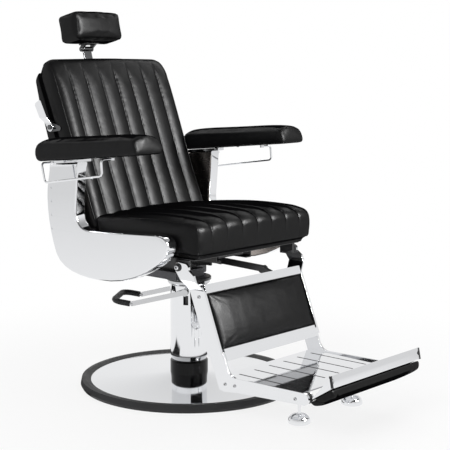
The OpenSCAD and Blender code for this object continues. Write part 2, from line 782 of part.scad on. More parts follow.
module side_body() {
    outline = side_outline();
    nrm = normals(outline);
    half = side_t / 2;
    edge_steps = 3;
    color(chrome) translate([side_in + half, 0, 0])
        loft_x([for (t = [edge_steps : -1 : 0]) -half + side_edge * (1 - sin(90 * t / edge_steps)),
                for (t = [0 : edge_steps]) half - side_edge * (1 - sin(90 * t / edge_steps))],
            function (x) [for (i = [0 : len(outline) - 1])
                outline[i] - nrm[i] * edge_in(x, half, side_edge)]);
}

module side_body_l() { side_body(); }
module side_body_r() { mirror([1, 0, 0]) side_body(); }

// Chrome blocks between the posts and the arm boards
module arm_mounts() {
    y0 = post_y - 26;
    y1 = post_y + post_d - 8;
    color(chrome) both() across(side_in + 6, side_t - 12)
        polygon([[y0, arm_under(y0) - arm_mount_h], [y1, arm_under(y1) - arm_mount_h],
            [y1, arm_under(y1)], [y0, arm_under(y0)]]);
}

module arm_board(gap = 0) {
    y0 = -arm_front + arm_rim + 3;
    y1 = arm_rear - arm_rim;
    up = arm_board_t + gap;
    across(arm_in + arm_rim - gap, arm_w - 2 * (arm_rim - gap))
        polygon([[y0 - gap, arm_under(y0 - gap) - gap], [y1 + gap, arm_under(y1 + gap) - gap],
            [y1 + gap, arm_under(y1 + gap) + up], [y0 - gap, arm_under(y0 - gap) + up]]);
}

module arm_board_l() { color("burlywood") arm_board(); }
module arm_board_r() { mirror([1, 0, 0]) arm_board_l(); }

// Pad with a blunt nose and a crown across its width, wrapped round the board's edges
function arm_profile() = let (
    y0 = -arm_front, z0 = arm_under(y0), y1 = arm_rear, z1 = arm_under(y1),
    a = [y0 + 9, z0], b = [y1, z1], c = [y1 + 22, z1 + arm_side * 0.55], d = [y1 - 4, z1 + arm_side + 4],
    m = [54, arm_under(54) + arm_side], e = [y0 + 22, z0 + arm_side - arm_nose_fall], f = [y0, z0 + 13])
    concat(run(a, b, 6), curve(b, b + [14, 0], c - [0, 16], c, 4), curve(c, c + [0, 16], d + [18, -1], d, 5),
        curve(d, d - [70, -8], m + [60, -5], m, 6), curve(m, m - [60, -4], e + [70, -1], e, 6),
        curve(e, e - [12, 1], f + [2, 14], f, 6), curve(f, f - [1, 8], a - [7, 1], a, 4));

function arm_loop(x) = let (p = arm_profile(), n = normals(p), half = arm_w / 2)
    [for (i = [0 : len(p) - 1]) let (top = clamp((n[i][1] - 0.5) / 0.4))
        p[i] + n[i] * (top * crown(x, half, arm_crown) - edge_in(x, half, arm_rim))];

module arm_pad() {
    color(leather) difference() {
        translate([arm_x, 0, 0])
            loft_x(round_stations(arm_w / 2, arm_rim, 6), function (x) arm_loop(x));
        arm_board(seat_gap);
    }
}

module arm_pad_l() { arm_pad(); }
module arm_pad_r() { mirror([1, 0, 0]) arm_pad(); }

// Wire loop under the arm, with a flat foot at each end against the arm board
module towel_rail() {
    y0 = -17;
    y1 = 254;
    mount_x = wire_x - 45;
    foot_r = wire_r + 3;
    z0 = arm_under(y0 + foot_r) - wire_r - seat_gap;
    z1 = arm_under(y1 + foot_r) - wire_r - seat_gap;
    color(chrome) {
        wire([[mount_x, y0, z0], [wire_x, y0, z0], [wire_x, y0 - 4, z0 - wire_drop],
            [wire_x, y1 - 16, z0 - wire_drop - 37], [wire_x, y1, z1], [mount_x + 4, y1, z1]],
            wire_r, wire_bend, [1, 0.8, 0.7]);
        for (end = [[mount_x, y0, z0], [mount_x + 4, y1, z1]]) translate(end - [0, 0, wire_r])
            cylinder(r = foot_r, h = 2 * wire_r);
    }
}

module towel_rail_l() { towel_rail(); }
module towel_rail_r() { mirror([1, 0, 0]) towel_rail(); }

// ---------------------------------------------------------------- hinge brackets of the seat
// Blocks inside the legrest's ears, each with its pin and screw head
module leg_brackets() {
    ear_in = ear_x - flat_t;
    color(black_steel) both() {
        across(ear_in - 12, 12 - seat_gap) difference() {
            translate([-leg_y - 34, leg_pivot[1] - 18]) square([52, pan_z - leg_pivot[1] + 18]);
            translate([-leg_y - 35, leg_pivot[1] - 19]) rotate(-20) square([20, 14]);
        }
        bar_x_dir(ear_in - 1, ear_x + 3, leg_pivot, pivot_r);
        bar_x_dir(ear_x + seat_gap, ear_x + 4, leg_pivot, pivot_r + 4);
    }
}

// Plates under the pan's rear corners that carry the back's pins
module back_brackets() {
    x0 = back_half - 11;
    color(black_steel) both() {
        across(x0, 11) {
            difference() {
                polygon(strap([back_pivot, back_pivot - [52, 34]], [20, 12]));
                translate([pan_rear + seat_gap - 100, pan_z]) square([100, 60]);
            }
            translate([back_y - 74, pan_z - 34]) square([70, 34]);
        }
        bar_x_dir(x0 + 10, back_half + 1 + hinge_t + 3, back_pivot, pivot_r);
        bar_x_dir(back_half + 1 + hinge_t + seat_gap, back_half + 5 + hinge_t, back_pivot, pivot_r + 4);
    }
}

// ---------------------------------------------------------------- back
hinge_in = back_half + 1;
strap_b = [30, 150];
module back_plate() {
    color(black_steel) across(hinge_in, hinge_t) difference() {
        polygon(strap([back_pivot, on_back(20, back_thick + 26), on_back(185, back_thick + 26)],
            [22, 20, 14]));
        translate(back_pivot) circle(r = pivot_r + pin_fit);
    }
}

module back_plate_l() { back_plate(); }
module back_plate_r() { mirror([1, 0, 0]) back_plate(); }

// Torsion tube on the pivot axis, with a web at each side that runs up behind the board to the lower strap
module back_tube() {
    reach = back_half - 12;
    face = back_thick + back_board_t;
    board_end = -52;
    color(black_steel) difference() {
        union() {
            bar_x_dir(-reach, reach, back_pivot, tube_r);
            both() across(reach - 30, 8) polygon([back_pivot, on_back(board_end - 26, face - 22), on_back(board_end - 4, face - 4),
                on_back(board_end, face + seat_gap), on_back(strap_b[0], face + seat_gap),
                on_back(strap_b[0], face + strap_t), on_back(board_end - 14, face + strap_t),
                back_pivot + on_back(-tube_r, 2) - back_foot]);
        }
        bar_x_dir(-back_half, back_half, back_pivot, tube_r - 4);
    }
}

// Straps across the back of the board, welded to the hinge plates
module back_straps() {
    color(black_steel) for (b = strap_b) across(-hinge_in, 2 * hinge_in)
        polygon([on_back(b, back_thick + back_board_t),
            on_back(b, back_thick + back_board_t + strap_t),
            on_back(b + 30, back_thick + back_board_t + strap_t),
            on_back(b + 30, back_thick + back_board_t)]);
}

// Crank clamped on the torsion tube, with the link's rear pin
crank_x0 = link_x - link_t / 2 - seat_gap - 11;
module crank() {
    color(black_steel) {
        across(crank_x0, 11) difference() {
            union() {
                translate(back_pivot) circle(r = tube_r + 7);
                polygon(strap([back_pivot, crank_pin], [eye_r - 1.5, eye_r]));
            }
            translate(back_pivot) circle(r = tube_r + 0.02);
        }
        bar_x_dir(crank_x0 + 5, link_x + link_t / 2 + 2, crank_pin, link_pin_r);
        bar_x_dir(link_x + link_t / 2 + seat_gap, link_x + link_t / 2 + 4, crank_pin, link_pin_r + 3);
    }
}

module back_board() {
    n0 = back_thick;
    n1 = back_thick + back_board_t;
    color("burlywood") across(-back_half + 9, 2 * back_half - 18)
        polygon([on_back(-50, n0), on_back(-50, n1), on_back(back_len - 8, n1), on_back(back_len, n0)]);
}

// Cushion with upright channels that end below a plain top border
function back_profile() = let (
    n1 = back_thick, top = back_len + 26,
    a = [-58, 14], b = [-52, n1], c = [back_len, n1], d = [top, n1 * 0.45], e = [top - 14, 6],
    f = [back_len - 77, -10], g = [117, 1], h = [-40, 0])
    concat(run(a, b, 3), run(b, c, 5), curve(c, c + [12, -2], d + [0, 14], d, 4),
        curve(d, d - [0, 9], e + [8, 5], e, 3), curve(e, e - [16, 9], f + [34, 0], f, 5),
        curve(f, f - [80, 0], g + [90, -2], g, 5), run(g, h, 3), curve(h, h - [14, 0], a - [3, 10], a, 4));

function back_loop(x) = let (p = back_profile(), q = [for (v = p) on_back(v[0], v[1])], n = normals(q))
    [for (i = [0 : len(p) - 1])
        let (front = p[i][1] < back_thick * 0.4 ? 1 : 0, w = front * clamp((back_len - 24 - p[i][0]) / 30))
        q[i] + n[i] * (front * clamp(p[i][0] / 80) * crown(x, back_half, 5) - w * channel(x, back_half, channels, channel_depth)
            - edge_in(x, back_half, 9))
            - (on_back(1, 0) - on_back(0, 0)) * edge_in(x, back_half, back_corner)
                * clamp((p[i][0] - back_len) / corner_run + 1)];

module back_cushion() {
    color(leather) loft_x(channel_stations(back_half, channels), function (x) back_loop(x));
}

// Upholstered shell behind the board, thicker towards the seat and relieved for the straps
strap_face = back_thick + back_board_t + strap_t + seat_gap;
function shell_n(b, top = shell_top) = back_thick + back_board_t + top
    + (shell_low - top) * (1 - pow(clamp((b - 60) / (back_len - 60)), 1.6));

function floor_n(b) = shell_n(b, channel_floor);

function shell_profile() = let (
    n0 = back_thick + back_board_t, low = shell_n(0), step_b = strap_b[1] + 34,
    a = [-50, strap_face], b = [-44, low - 26], c = [0, low], top = [back_len - shell_top, shell_n(back_len)])
    concat(run(a, b, 2), curve(b, b + [4, 18], c - [20, 0], c, 4),
        [for (t = [0 : 0.125 : 0.99]) [t * top[0], shell_n(t * top[0])]],
        curve(top, top + [shell_top * 0.6, 0], [back_len + 4, n0 + shell_top * 0.6], [back_len + 4, n0], 6),
        run([back_len + 4, n0], [step_b + 1, n0], 4), [[step_b + 1, n0], [step_b - 1, strap_face]]);

// The channel in the shell's rear for the headrest bar and its socket
module bar_channel() {
    half = bar_w / 2 + 13;
    b0 = socket_b[0] - 80;
    b1 = back_len + 10;
    deep = shell_low * 3;
    across(-half, 2 * half) polygon(concat([for (t = [0 : 0.125 : 1])
        let (b = b0 + t * (b1 - b0)) on_back(b, floor_n(b))], [on_back(b1, deep), on_back(b0 - 20, deep)]));
}

module back_shell() {
    half = back_half - 3;
    edge = 12;
    color(leather) difference() {
        loft_x(round_stations(half, edge, 4), function (x)
            let (n0 = back_thick + back_board_t, thin = 1 - 0.6 * edge_in(x, half, edge) / edge)
            [for (v = shell_profile())
                on_back(v[0] - edge_in(x, half, back_corner) * clamp((v[0] - back_len) / corner_run + 1),
                    max(v[0] < strap_b[1] + 34 ? strap_face : n0, n0 + (v[1] - n0) * thin))]);
        bar_channel();
    }
}

// ---------------------------------------------------------------- headrest
// The bar leans with its own angle; s runs up along it from where it leaves the socket
bar_dir = [sin(bar_lean), cos(bar_lean)];
bar_out = [cos(bar_lean), -sin(bar_lean)];
socket_b = [back_len - 95, back_len - 15];
bar_axis = on_back(back_len - 20, floor_n(back_len - 20)) + bar_out * (bar_t / 2 + 13);
function on_bar(s, n) = bar_axis + bar_dir * s + bar_out * n;
bar_top = bar_len * 0.5;
head_pivot = on_bar(bar_top, 0);

module bar_socket() {
    half = bar_w / 2 + 10;
    color(black_steel) difference() {
        across(-half, 2 * half) polygon([
            on_back(socket_b[0], floor_n(socket_b[0]) + seat_gap),
            on_back(socket_b[1], floor_n(socket_b[1]) + seat_gap),
            on_bar(-6, bar_t / 2 + 6), on_bar(-78, bar_t / 2 + 6)]);
        bar_body(bar_w / 2 + pin_fit, bar_t / 2 + pin_fit, -200, 60);
    }
}

// The flat bar's body between two places along it
module bar_body(half, thick, s0, s1) {
    across(-half, 2 * half)
        polygon([on_bar(s0, -thick), on_bar(s0, thick), on_bar(s1, thick), on_bar(s1, -thick)]);
}

module headrest_bar() {
    barrel = bar_t / 2 + 6;
    color(chrome) {
        bar_body(bar_w / 2, bar_t / 2, bar_top - bar_len, bar_top);
        bar_x_dir(-bar_w / 2, bar_w / 2, head_pivot, barrel);
        bar_x_dir(-bar_w / 2 - 9, bar_w / 2 + 9, head_pivot, barrel - 4);
    }
}

// The headrest's leaning frame: p runs to the rear, q upwards, origin at its middle
head_p = [cos(head_lean), -sin(head_lean)];
head_q = [sin(head_lean), cos(head_lean)];
pivot_p = head_pad_d / 2 - head_back;
head_mid = head_pivot - head_p * pivot_p + head_q * (head_pad_h / 2 + head_stand);
function on_head(p, q) = head_mid + head_p * p + head_q * q;

// Plate under the headrest with an ear at each end of the bar's barrel
module headrest_ears() {
    q0 = -head_pad_h / 2;
    p0 = pivot_p - 34;
    p1 = pivot_p - 2;
    plate_t = 4;
    ear_t = 7;
    barrel = bar_t / 2 + 6;
    color(black_steel) {
        across(-bar_w / 2 - 16, bar_w + 32) polygon([on_head(p0, q0 - plate_t), on_head(p0, q0 - 0.3),
            on_head(p1, q0 - 0.3), on_head(p1, q0 - plate_t)]);
        both() across(bar_w / 2 + seat_gap, ear_t) difference() {
            union() {
                translate(head_pivot) circle(r = barrel);
                polygon([on_head(p0 + 4, q0 - plate_t), on_head(p1, q0 - plate_t),
                    head_pivot + head_p * (barrel - 2) + head_q * 4, head_pivot - head_p * (barrel - 2)]);
            }
            translate(head_pivot) circle(r = barrel - 4 + pin_fit);
        }
    }
}

function head_profile() = let (a = head_pad_d / 2, b = head_pad_h / 2, r = 15, k = 0.45)
    concat(run([-a + r, -b], [a - r, -b], 3),
        curve([a - r, -b], [a - r * k, -b], [a, -b + r * k], [a, -b + r], 4),
        run([a, -b + r], [a, b - r], 2),
        curve([a, b - r], [a, b - r * k], [a - r * k, b], [a - r, b], 4),
        run([a - r, b], [-a + r, b], 3),
        curve([-a + r, b], [-a + r * k, b], [-a, b - r * k], [-a, b - r], 4),
        run([-a, b - r], [-a, -b + r], 3),
        curve([-a, -b + r], [-a, -b + r * k], [-a + r * k, -b], [-a + r, -b], 4));

function head_loop(x) = let (p = head_profile(), q = [for (v = p) on_head(v[0], v[1])], n = normals(q))
    [for (i = [0 : len(p) - 1]) let (w = p[i][1] > -head_pad_h / 2 + 4 ? 1 : 0)
        q[i] + n[i] * (w * (crown(x, head_half, 4) - 4) - edge_in(x, head_half, 12))];

module headrest_cushion() {
    color(leather) loft_x(round_stations(head_half, 12, 4), function (x) head_loop(x));
}

// ---------------------------------------------------------------- recline lever
lever_foot = on_back(306, back_thick + back_board_t / 2);
lever_up = [sin(29), cos(29)];
lever_x = back_half + 0.3;

module lever_bracket() {
    tab = back_board_t - 2;
    color(chrome) mirror([1, 0, 0]) {
        across(lever_x, 4) difference() {
            polygon(strap([on_back(290, back_thick - 26), lever_foot], [8, 15]));
            translate(lever_foot) circle(r = 5);
        }
        across(back_half - 9, 9.4) polygon([on_back(292, back_thick + 1),
            on_back(292, back_thick + 1 + tab), on_back(320, back_thick + 1 + tab),
            on_back(320, back_thick + 1)]);
        bar_x_dir(lever_x, lever_x + 14, lever_foot, 5);
        bar_x_dir(lever_x + 12, lever_x + 15, lever_foot, 8);
    }
}

// Bent flat lever: a strip joggled outwards, cut to the paddle's outline
module recline_lever() {
    x0 = lever_x + 4 + seat_gap;
    out = 13;
    z = lever_foot[1];
    strip = [[x0, z - 30], [x0 + 7, z - 30], [x0 + 7, z + 14], [x0 + 7 + out, z + 30],
        [x0 + 7 + out, z + 120], [x0 + 7 + out - paddle_t, z + 120], [x0 + 7 + out - paddle_t, z + 32],
        [x0, z + 18]];
    color(chrome) mirror([1, 0, 0]) difference() {
        intersection() {
            across(x0 - 1, out + 12) {
                translate(lever_foot) circle(r = 14);
                polygon([for (v = [[-11, 0], [11, 0], [paddle_w / 2, 26], [paddle_w / 2, paddle_len - 5],
                    [paddle_w / 2 - 5, paddle_len], [-paddle_w / 2 + 5, paddle_len],
                    [-paddle_w / 2, paddle_len - 5], [-paddle_w / 2, 26]])
                    lever_foot + lever_up * v[1] + [lever_up[1], -lever_up[0]] * v[0]]);
            }
            translate([0, 600, 0]) rotate([90, 0, 0]) linear_extrude(height = 600) polygon(strip);
        }
        bar_x_dir(x0 - 1, x0 + 30, lever_foot, 5 + pin_fit);
    }
}

// ---------------------------------------------------------------- link
module link_bar() {
    d = unit(lug_pin - crank_pin);
    side = [-d[1], d[0]];
    mid = crank_pin + d * 112;
    color(black_steel) difference() {
        union() {
            across(link_x - link_t / 2, link_t) {
                translate(crank_pin) circle(r = eye_r);
                translate(lug_pin) circle(r = eye_r);
                polygon([crank_pin + side * link_half, crank_pin - side * link_half,
                    lug_pin - side * link_half, lug_pin + side * link_half]);
            }
            across(link_x - link_t / 2 - 3, link_t + 6)
                polygon([mid - d * 34 - side * 12, mid + d * 34 - side * 12, mid + d * 34 + side * 12,
                    mid - d * 34 + side * 12]);
        }
        bar_x_dir(link_x - 20, link_x + 20, crank_pin, link_pin_r + pin_fit);
        bar_x_dir(link_x - 20, link_x + 20, lug_pin, link_pin_r + link_play);
    }
}

// ---------------------------------------------------------------- legrest
leg_rear = -4;
leg_front = leg_rear + side_bar_w;
foot_z = leg_pivot[1] - foot_drop;
seam_z = foot_z + seam_up;
panel_u = [97, 97 + panel_len];
heel = on_leg(leg_u(foot_z, leg_front), leg_front);
toe = [heel[0] - rail_len, foot_z - toe_drop];

// Ear, joggle and bar in one bent flat: a strip seen from the front, cut to the side outline
module leg_bar() {
    x1 = ear_x;
    x0 = bar_x;
    z1 = leg_pivot[1] - 36;
    z0 = leg_pivot[1] - 66;
    strip = [[x1, z1 + 80], [x1, z1], [x0, z0], [x0, seam_z - 40], [x0 - flat_t, seam_z - 40],
        [x0 - flat_t, z0 - 3], [x1 - flat_t, z1 - 3], [x1 - flat_t, z1 + 80]];
    color(chrome) difference() {
        intersection() {
            across(x0 - flat_t - 1, x1 - x0 + flat_t + 2) polygon(concat(
                [on_leg(leg_u(seam_z, leg_rear), leg_rear), on_leg(40, leg_rear)],
                arc(leg_pivot, 15, -30, 88), arc(on_leg(11, 25), 14, 92, 195),
                [on_leg(40, leg_front), on_leg(leg_u(seam_z, leg_front), leg_front)]));
            rotate([90, 0, 0]) linear_extrude(height = 600) polygon(strip);
        }
        bar_x_dir(x0, x1 + 5, leg_pivot, pivot_r + pin_fit);
    }
}

module leg_bar_l() { leg_bar(); }
module leg_bar_r() { mirror([1, 0, 0]) leg_bar(); }

// Flat bars above and below the pad, the upper one with the lug that the link pushes
module leg_cross_bars() {
    v0 = leg_front - 7;
    v1 = leg_front + 1;
    lug_x0 = link_x - link_t / 2 - seat_gap - 11;
    lug_u = lug_y * sin(leg_tilt) + lug_z * cos(leg_tilt);
    lug_v = lug_y * cos(leg_tilt) - lug_z * sin(leg_tilt);
    color(chrome) across(-rail_out, 2 * rail_out)
        polygon([on_leg(panel_u[0] - 26, v0), on_leg(panel_u[0], v0), on_leg(panel_u[0], v1),
            on_leg(panel_u[0] - 26, v1)]);
    color(chrome) across(-rail_in, 2 * rail_in)
        polygon([on_leg(panel_u[1], v0), on_leg(panel_u[1] + 36, v0), on_leg(panel_u[1] + 36, v1),
            on_leg(panel_u[1], v1)]);
    color(black_steel) {
        across(lug_x0, 11) {
            translate(lug_pin) circle(r = eye_r);
            polygon([on_leg(lug_u - eye_r + 1, lug_v + 4), on_leg(panel_u[0] - 25, v0),
                on_leg(panel_u[0] - 24, v0 + 4), on_leg(panel_u[0] - 2, v0 + 4),
                on_leg(panel_u[0] - 1, v0), on_leg(lug_u + eye_r - 1, lug_v - 4)]);
        }
        bar_x_dir(lug_x0 + 5, link_x + link_t / 2 + 2, lug_pin, link_pin_r);
        bar_x_dir(link_x + link_t / 2 + seat_gap, link_x + link_t / 2 + 4, lug_pin, link_pin_r + 3);
    }
}

module leg_panel() {
    v1 = leg_front - 7;
    color("burlywood") across(-rail_out, 2 * rail_out)
        polygon([on_leg(panel_u[0], v1 - panel_t), on_leg(panel_u[1], v1 - panel_t),
            on_leg(panel_u[1], v1), on_leg(panel_u[0], v1)]);
}

// Pad that swells out of the frame between the two cross bars
function leg_pad_profile() = let (v = leg_front - 7 + seat_gap, t = leg_pad_t, u0 = panel_u[0] + 0.4,
    u1 = panel_u[1] - 0.4)
    concat(run([u1, v], [u0, v], 5), curve([u0, v], [u0, v + t * 0.7], [u0 + 2, v + t], [u0 + 12, v + t], 4),
        run([u0 + 12, v + t], [u1 - 12, v + t], 8),
        curve([u1 - 12, v + t], [u1 - 2, v + t], [u1, v + t * 0.7], [u1, v], 4));

function leg_pad_loop(x) = let (p = leg_pad_profile(), half = rail_out - 3, c = (panel_u[0] + panel_u[1]) / 2)
    [for (q = p) let (w = q[1] > leg_front - 6 ? 1 : 0,
        rise = leg_crown * pow(max(0, 1 - pow(abs(q[0] - c) / (panel_len / 2), 2.4)), 0.7),
        e = edge_in(x, half, leg_pad_t - 1))
        on_leg(q[0], q[1] + w * (rise * pow(max(0, 1 - pow(abs(x) / half, 3)), 0.8) - e * clamp(q[1] - leg_front + 7)))];

module leg_pad() {
    color(leather) loft_x(round_stations(rail_out - 3, leg_pad_t - 1, 8), function (x) leg_pad_loop(x));
}

// ---------------------------------------------------------------- foot rails and footplate
// Angle plate bolted inside the side bar, running forward to the flap hinge
module foot_rail() {
    lap = 18;
    up = [heel[0] - 24, toe[1] + toe_r - 4];
    rear_low = on_leg(leg_u(foot_z - 41, leg_rear), leg_rear);
    color(chrome) across(rail_in, flat_t) {
        translate(toe) circle(r = toe_r);
        polygon(concat([on_leg(leg_u(seam_z + lap, leg_rear), leg_rear), rear_low,
            rear_low + [-18, -4], rear_low + [-70, 2], toe + [0, -toe_r], toe + [0, toe_r], up],
            curve(up, up + [18, 0], heel + [4, 8], on_leg(leg_u(foot_z + 34, leg_front), leg_front), 6),
            [on_leg(leg_u(seam_z + lap, leg_front), leg_front)]));
    }
    color(rubber) {
        bar_x_dir(rail_in - bush_w, rail_in + 1, toe, toe_r - 1);
        bar_x_dir(rail_in - bush_w - 11, rail_in, toe, pivot_r);
    }
}

module foot_rail_l() { foot_rail(); }
module foot_rail_r() { mirror([1, 0, 0]) foot_rail(); }

// Slotted plate with turned-down sides and the two stud sockets
module footplate() {
    half = rail_in;
    y0 = toe[0] + toe_r + 2;
    y1 = heel[0] + 40;
    slot_y = heel[0] + 10;
    z = foot_z - foot_t;
    color(chrome) difference() {
        union() {
            translate([-half, y0, z]) cube([2 * half, y1 - y0, foot_t]);
            both() translate([half - foot_t, y0 + 10, foot_z - 22]) cube([foot_t, y1 - y0 - 50, 22]);
            for (side = [-1, 1]) translate([side * foot_x, toe[0] + foot_set, foot_z - socket_len])
                cylinder(r = stud_r + 7, h = socket_len - foot_t + 0.01);
        }
        for (i = [-2.5 : 1 : 2.5]) translate([i * slot_pitch, slot_y - slot_len, 0]) {
            translate([-slot_w / 2, slot_w / 2, z - cut])
                cube([slot_w, slot_len - slot_w, foot_t + 2 * cut]);
            for (e = [slot_w / 2, slot_len - slot_w / 2]) translate([0, e, z - cut])
                cylinder(r = slot_w / 2, h = foot_t + 2 * cut);
        }
        for (side = [-1, 1]) translate([side * foot_x, toe[0] + foot_set, foot_z - socket_len - cut])
            cylinder(r = stud_r + pin_fit, h = socket_len - foot_t + cut);
    }
}

// ---------------------------------------------------------------- flap
flap_dir = [-cos(flap_rise), sin(flap_rise)];
flap_down = [-sin(flap_rise), -cos(flap_rise)];
function on_flap(s, d) = toe + [2, -11] + flap_dir * s + flap_down * d;
// In front of the rails' ends the tray widens
flap_step = toe_r * 2;
pad_rear = -8;
pad_edge = 10;

// Folded tray with a raised lip and a hinge cheek at each end
module flap_tray() {
    half = flap_half;
    lip = unit([6, 31]);
    out = [-lip[1], lip[0]];
    tip = on_flap(flap_len, 0);
    color(chrome) {
        difference() {
            union() {
                across(-half, 2 * half)
                    polygon([on_flap(-4, 0), on_flap(-4, tray_t), on_flap(flap_len, tray_t), tip]);
                across(-flap_wide, 2 * flap_wide) {
                    polygon([on_flap(flap_step, 0), on_flap(flap_step, tray_t), on_flap(flap_len, tray_t), tip]);
                    polygon([on_flap(flap_len, tray_t), tip + out * tray_t,
                        tip + lip * lip_len + out * tray_t, tip + lip * lip_len, tip]);
                }
            }
            both() translate([flap_wide - 16, tip[0] - 30, tip[1] + lip_len - 15]) rotate([0, 45, 0])
                cube([40, 80, 40]);
        }
        both() across(flap_wide - tray_t, tray_t)
            polygon([on_flap(flap_step, 0), tip, tip + lip * (lip_len - 6)]);
        both() across(half - 8, 8) difference() {
            union() {
                translate(toe) circle(r = toe_r - 4);
                polygon([toe + [toe_r - 5, -4], toe + [-toe_r + 5, 4], on_flap(16, 0), on_flap(-4, 0)]);
            }
            translate(toe) circle(r = pivot_r + pin_fit);
        }
    }
}

function flap_pad_profile() = let (t = flap_pad_t, a = [pad_rear, tray_t + seat_gap],
    b = [flap_len - 3, tray_t + seat_gap])
    concat(run(a, b, 6), curve(b, b + [2, t * 0.6], b + [-8, t + 2], b + [-26, t + 2], 4),
        curve(b + [-26, t + 2], b + [-50, t + 2], a + [22, t + 1], a + [10, t * 0.7], 5),
        curve(a + [10, t * 0.7], a + [4, t * 0.6], a + [0, 5], a, 3));

// Across the rails' ends the pad starts further forward, below the wide part of the tray
function flap_pad_loop(x) = let (shift = (flap_step + 2 - pad_rear) * clamp((abs(x) - flap_half + 12) / 3))
    [for (q = flap_pad_profile()) let (d = q[1] - tray_t - seat_gap,
        s = q[0] + shift * (flap_len - 3 - q[0]) / (flap_len - 3 - pad_rear))
        on_flap(s, q[1] - (d > 0.5 ? min(d, edge_in(x, flap_wide - 2, pad_edge)) : 0))];

module flap_pad() {
    inner = [for (x = [-1, -0.6, -0.2, 0.2, 0.6, 1]) x * (flap_half - 12)];
    side = [for (x = round_stations(flap_wide - 2, pad_edge, 1)) if (x > flap_half - 4) x];
    color(leather) loft_x(concat([for (i = [len(side) - 1 : -1 : 0]) -side[i]], [-flap_half + 9],
        inner, [flap_half - 9], side), function (x) flap_pad_loop(x));
}

// ---------------------------------------------------------------- levelling feet
module foot(x) {
    y = toe[0] + foot_set;
    travel = 12;
    stud_top = foot_z - foot_t - travel;
    neck = stud_r + 4;
    rim = 0.2;
    color(chrome) translate([x, y, pad_lift]) {
        rotate_extrude() polygon(concat([[0, 0], [pad_r - 2, 0], [pad_r, 2], [pad_r, pad_h * rim]],
            [for (t = [15 : 15 : 75]) [neck + (pad_r - neck) * cos(t), pad_h * (rim + (1 - rim) * sin(t))]],
            [[neck, pad_h], [0, pad_h]]));
        translate([0, 0, pad_h - 1]) cylinder(r = stud_r, h = stud_top - pad_lift - pad_h + 1);
    }
}

module foot_l() { foot(foot_x); }
module foot_r() { foot(-foot_x); }

// ---------------------------------------------------------------- drawing
base_plate();
base_ring();
base_dome();
pump_collar();
column_cover();
pump_cylinder();
pump_head();
lever_pins();
pump_lever();
lever_grip();
ram();
ram_flange();
spindle_nut();
swivel_disc();
hub_bracket();
riser_plates();
seat_rail_r();
seat_rail_l();
seat_cross();
seat_pan();
seat_board();
seat_cushion();
side_body_r();
side_body_l();
arm_mounts();
arm_board_r();
arm_board_l();
arm_pad_r();
arm_pad_l();
towel_rail_r();
towel_rail_l();
leg_brackets();
back_brackets();
back_plate_r();
back_plate_l();
back_tube();
back_straps();
crank();
back_board();
back_cushion();
back_shell();
bar_socket();
lever_bracket();
recline_lever();
headrest_bar();
headrest_ears();
headrest_cushion();
link_bar();
leg_bar_r();
leg_bar_l();
leg_cross_bars();
leg_panel();
leg_pad();
foot_rail_r();
foot_rail_l();
footplate();
flap_tray();
flap_pad();
foot_r();
foot_l();
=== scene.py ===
"""Hydraulic barber chair: upholstery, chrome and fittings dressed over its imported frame."""

import json
import math

import bpy
import numpy as np
from bpy.props import FloatProperty, FloatVectorProperty, IntProperty, PointerProperty
from mathutils import Matrix, Vector
from mathutils.bvhtree import BVHTree


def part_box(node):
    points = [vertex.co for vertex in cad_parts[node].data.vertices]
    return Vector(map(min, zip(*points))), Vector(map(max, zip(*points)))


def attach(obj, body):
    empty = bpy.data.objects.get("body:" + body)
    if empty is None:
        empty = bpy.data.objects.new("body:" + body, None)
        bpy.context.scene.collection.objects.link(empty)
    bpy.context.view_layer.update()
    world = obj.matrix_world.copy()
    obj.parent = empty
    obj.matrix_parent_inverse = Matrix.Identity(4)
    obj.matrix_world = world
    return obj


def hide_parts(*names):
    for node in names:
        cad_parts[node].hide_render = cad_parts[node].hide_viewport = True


bl_info = {
    "name": "Barber Chair",
    "version": (1, 0, 0),
    "blender": (4, 5, 0),
    "location": "3D View > Sidebar > Barber Chair",
    "description": "Dresses the frame of a hydraulic barber chair with its upholstery, chrome and fittings",
    "category": "Object",
}

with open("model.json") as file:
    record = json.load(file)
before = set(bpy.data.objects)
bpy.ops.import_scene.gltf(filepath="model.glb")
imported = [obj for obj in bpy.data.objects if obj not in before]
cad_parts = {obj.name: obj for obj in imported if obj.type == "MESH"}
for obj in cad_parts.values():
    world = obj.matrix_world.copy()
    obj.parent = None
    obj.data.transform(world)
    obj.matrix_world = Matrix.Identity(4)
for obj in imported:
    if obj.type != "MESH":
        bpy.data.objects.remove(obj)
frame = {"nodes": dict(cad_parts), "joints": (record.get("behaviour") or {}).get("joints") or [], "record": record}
NODES = frame["nodes"]
PIVOTS = {joint["name"]: Vector(joint.get("pos_m", (0, 0, 0))) for joint in frame["joints"]}
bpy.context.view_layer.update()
MM = 0.001

# Points closer than this are welded
WELD = 0.01 * MM
SIDES = ((-1, "r"), (1, "l"))
WHITE = (1, 1, 1, 1)

# The back leans by this angle, and its seams follow its face from its foot
BACK_LEAN = math.radians(23)
BACK_FOOT = PIVOTS["back_recline"] + Vector((0, 8 * MM, 100 * MM))
SEAT_LOW, SEAT_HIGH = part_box("seat_cushion")
BACK_HALF = 259 * MM
BACK_TOP = 521 * MM
BACK_THICK = 62 * MM


# ---------------------------------------------------------------- settings
def srgb(code):
    """Three numbers from 0 to 1, from a hex colour."""
    return tuple(int(code[i:i + 2], 16) / 255 for i in (1, 3, 5))


def length_setting(name, description, default, least, most):
    """A setting that is given here in millimetres."""
    return FloatProperty(name=name, description=description, default=default * MM, min=least * MM,
                         max=most * MM, unit="LENGTH")


def colour_setting(name, description, code):
    """A setting for a colour, as sRGB."""
    return FloatVectorProperty(name=name, description=description, subtype="COLOR_GAMMA", size=3, min=0,
                               max=1, default=srgb(code))


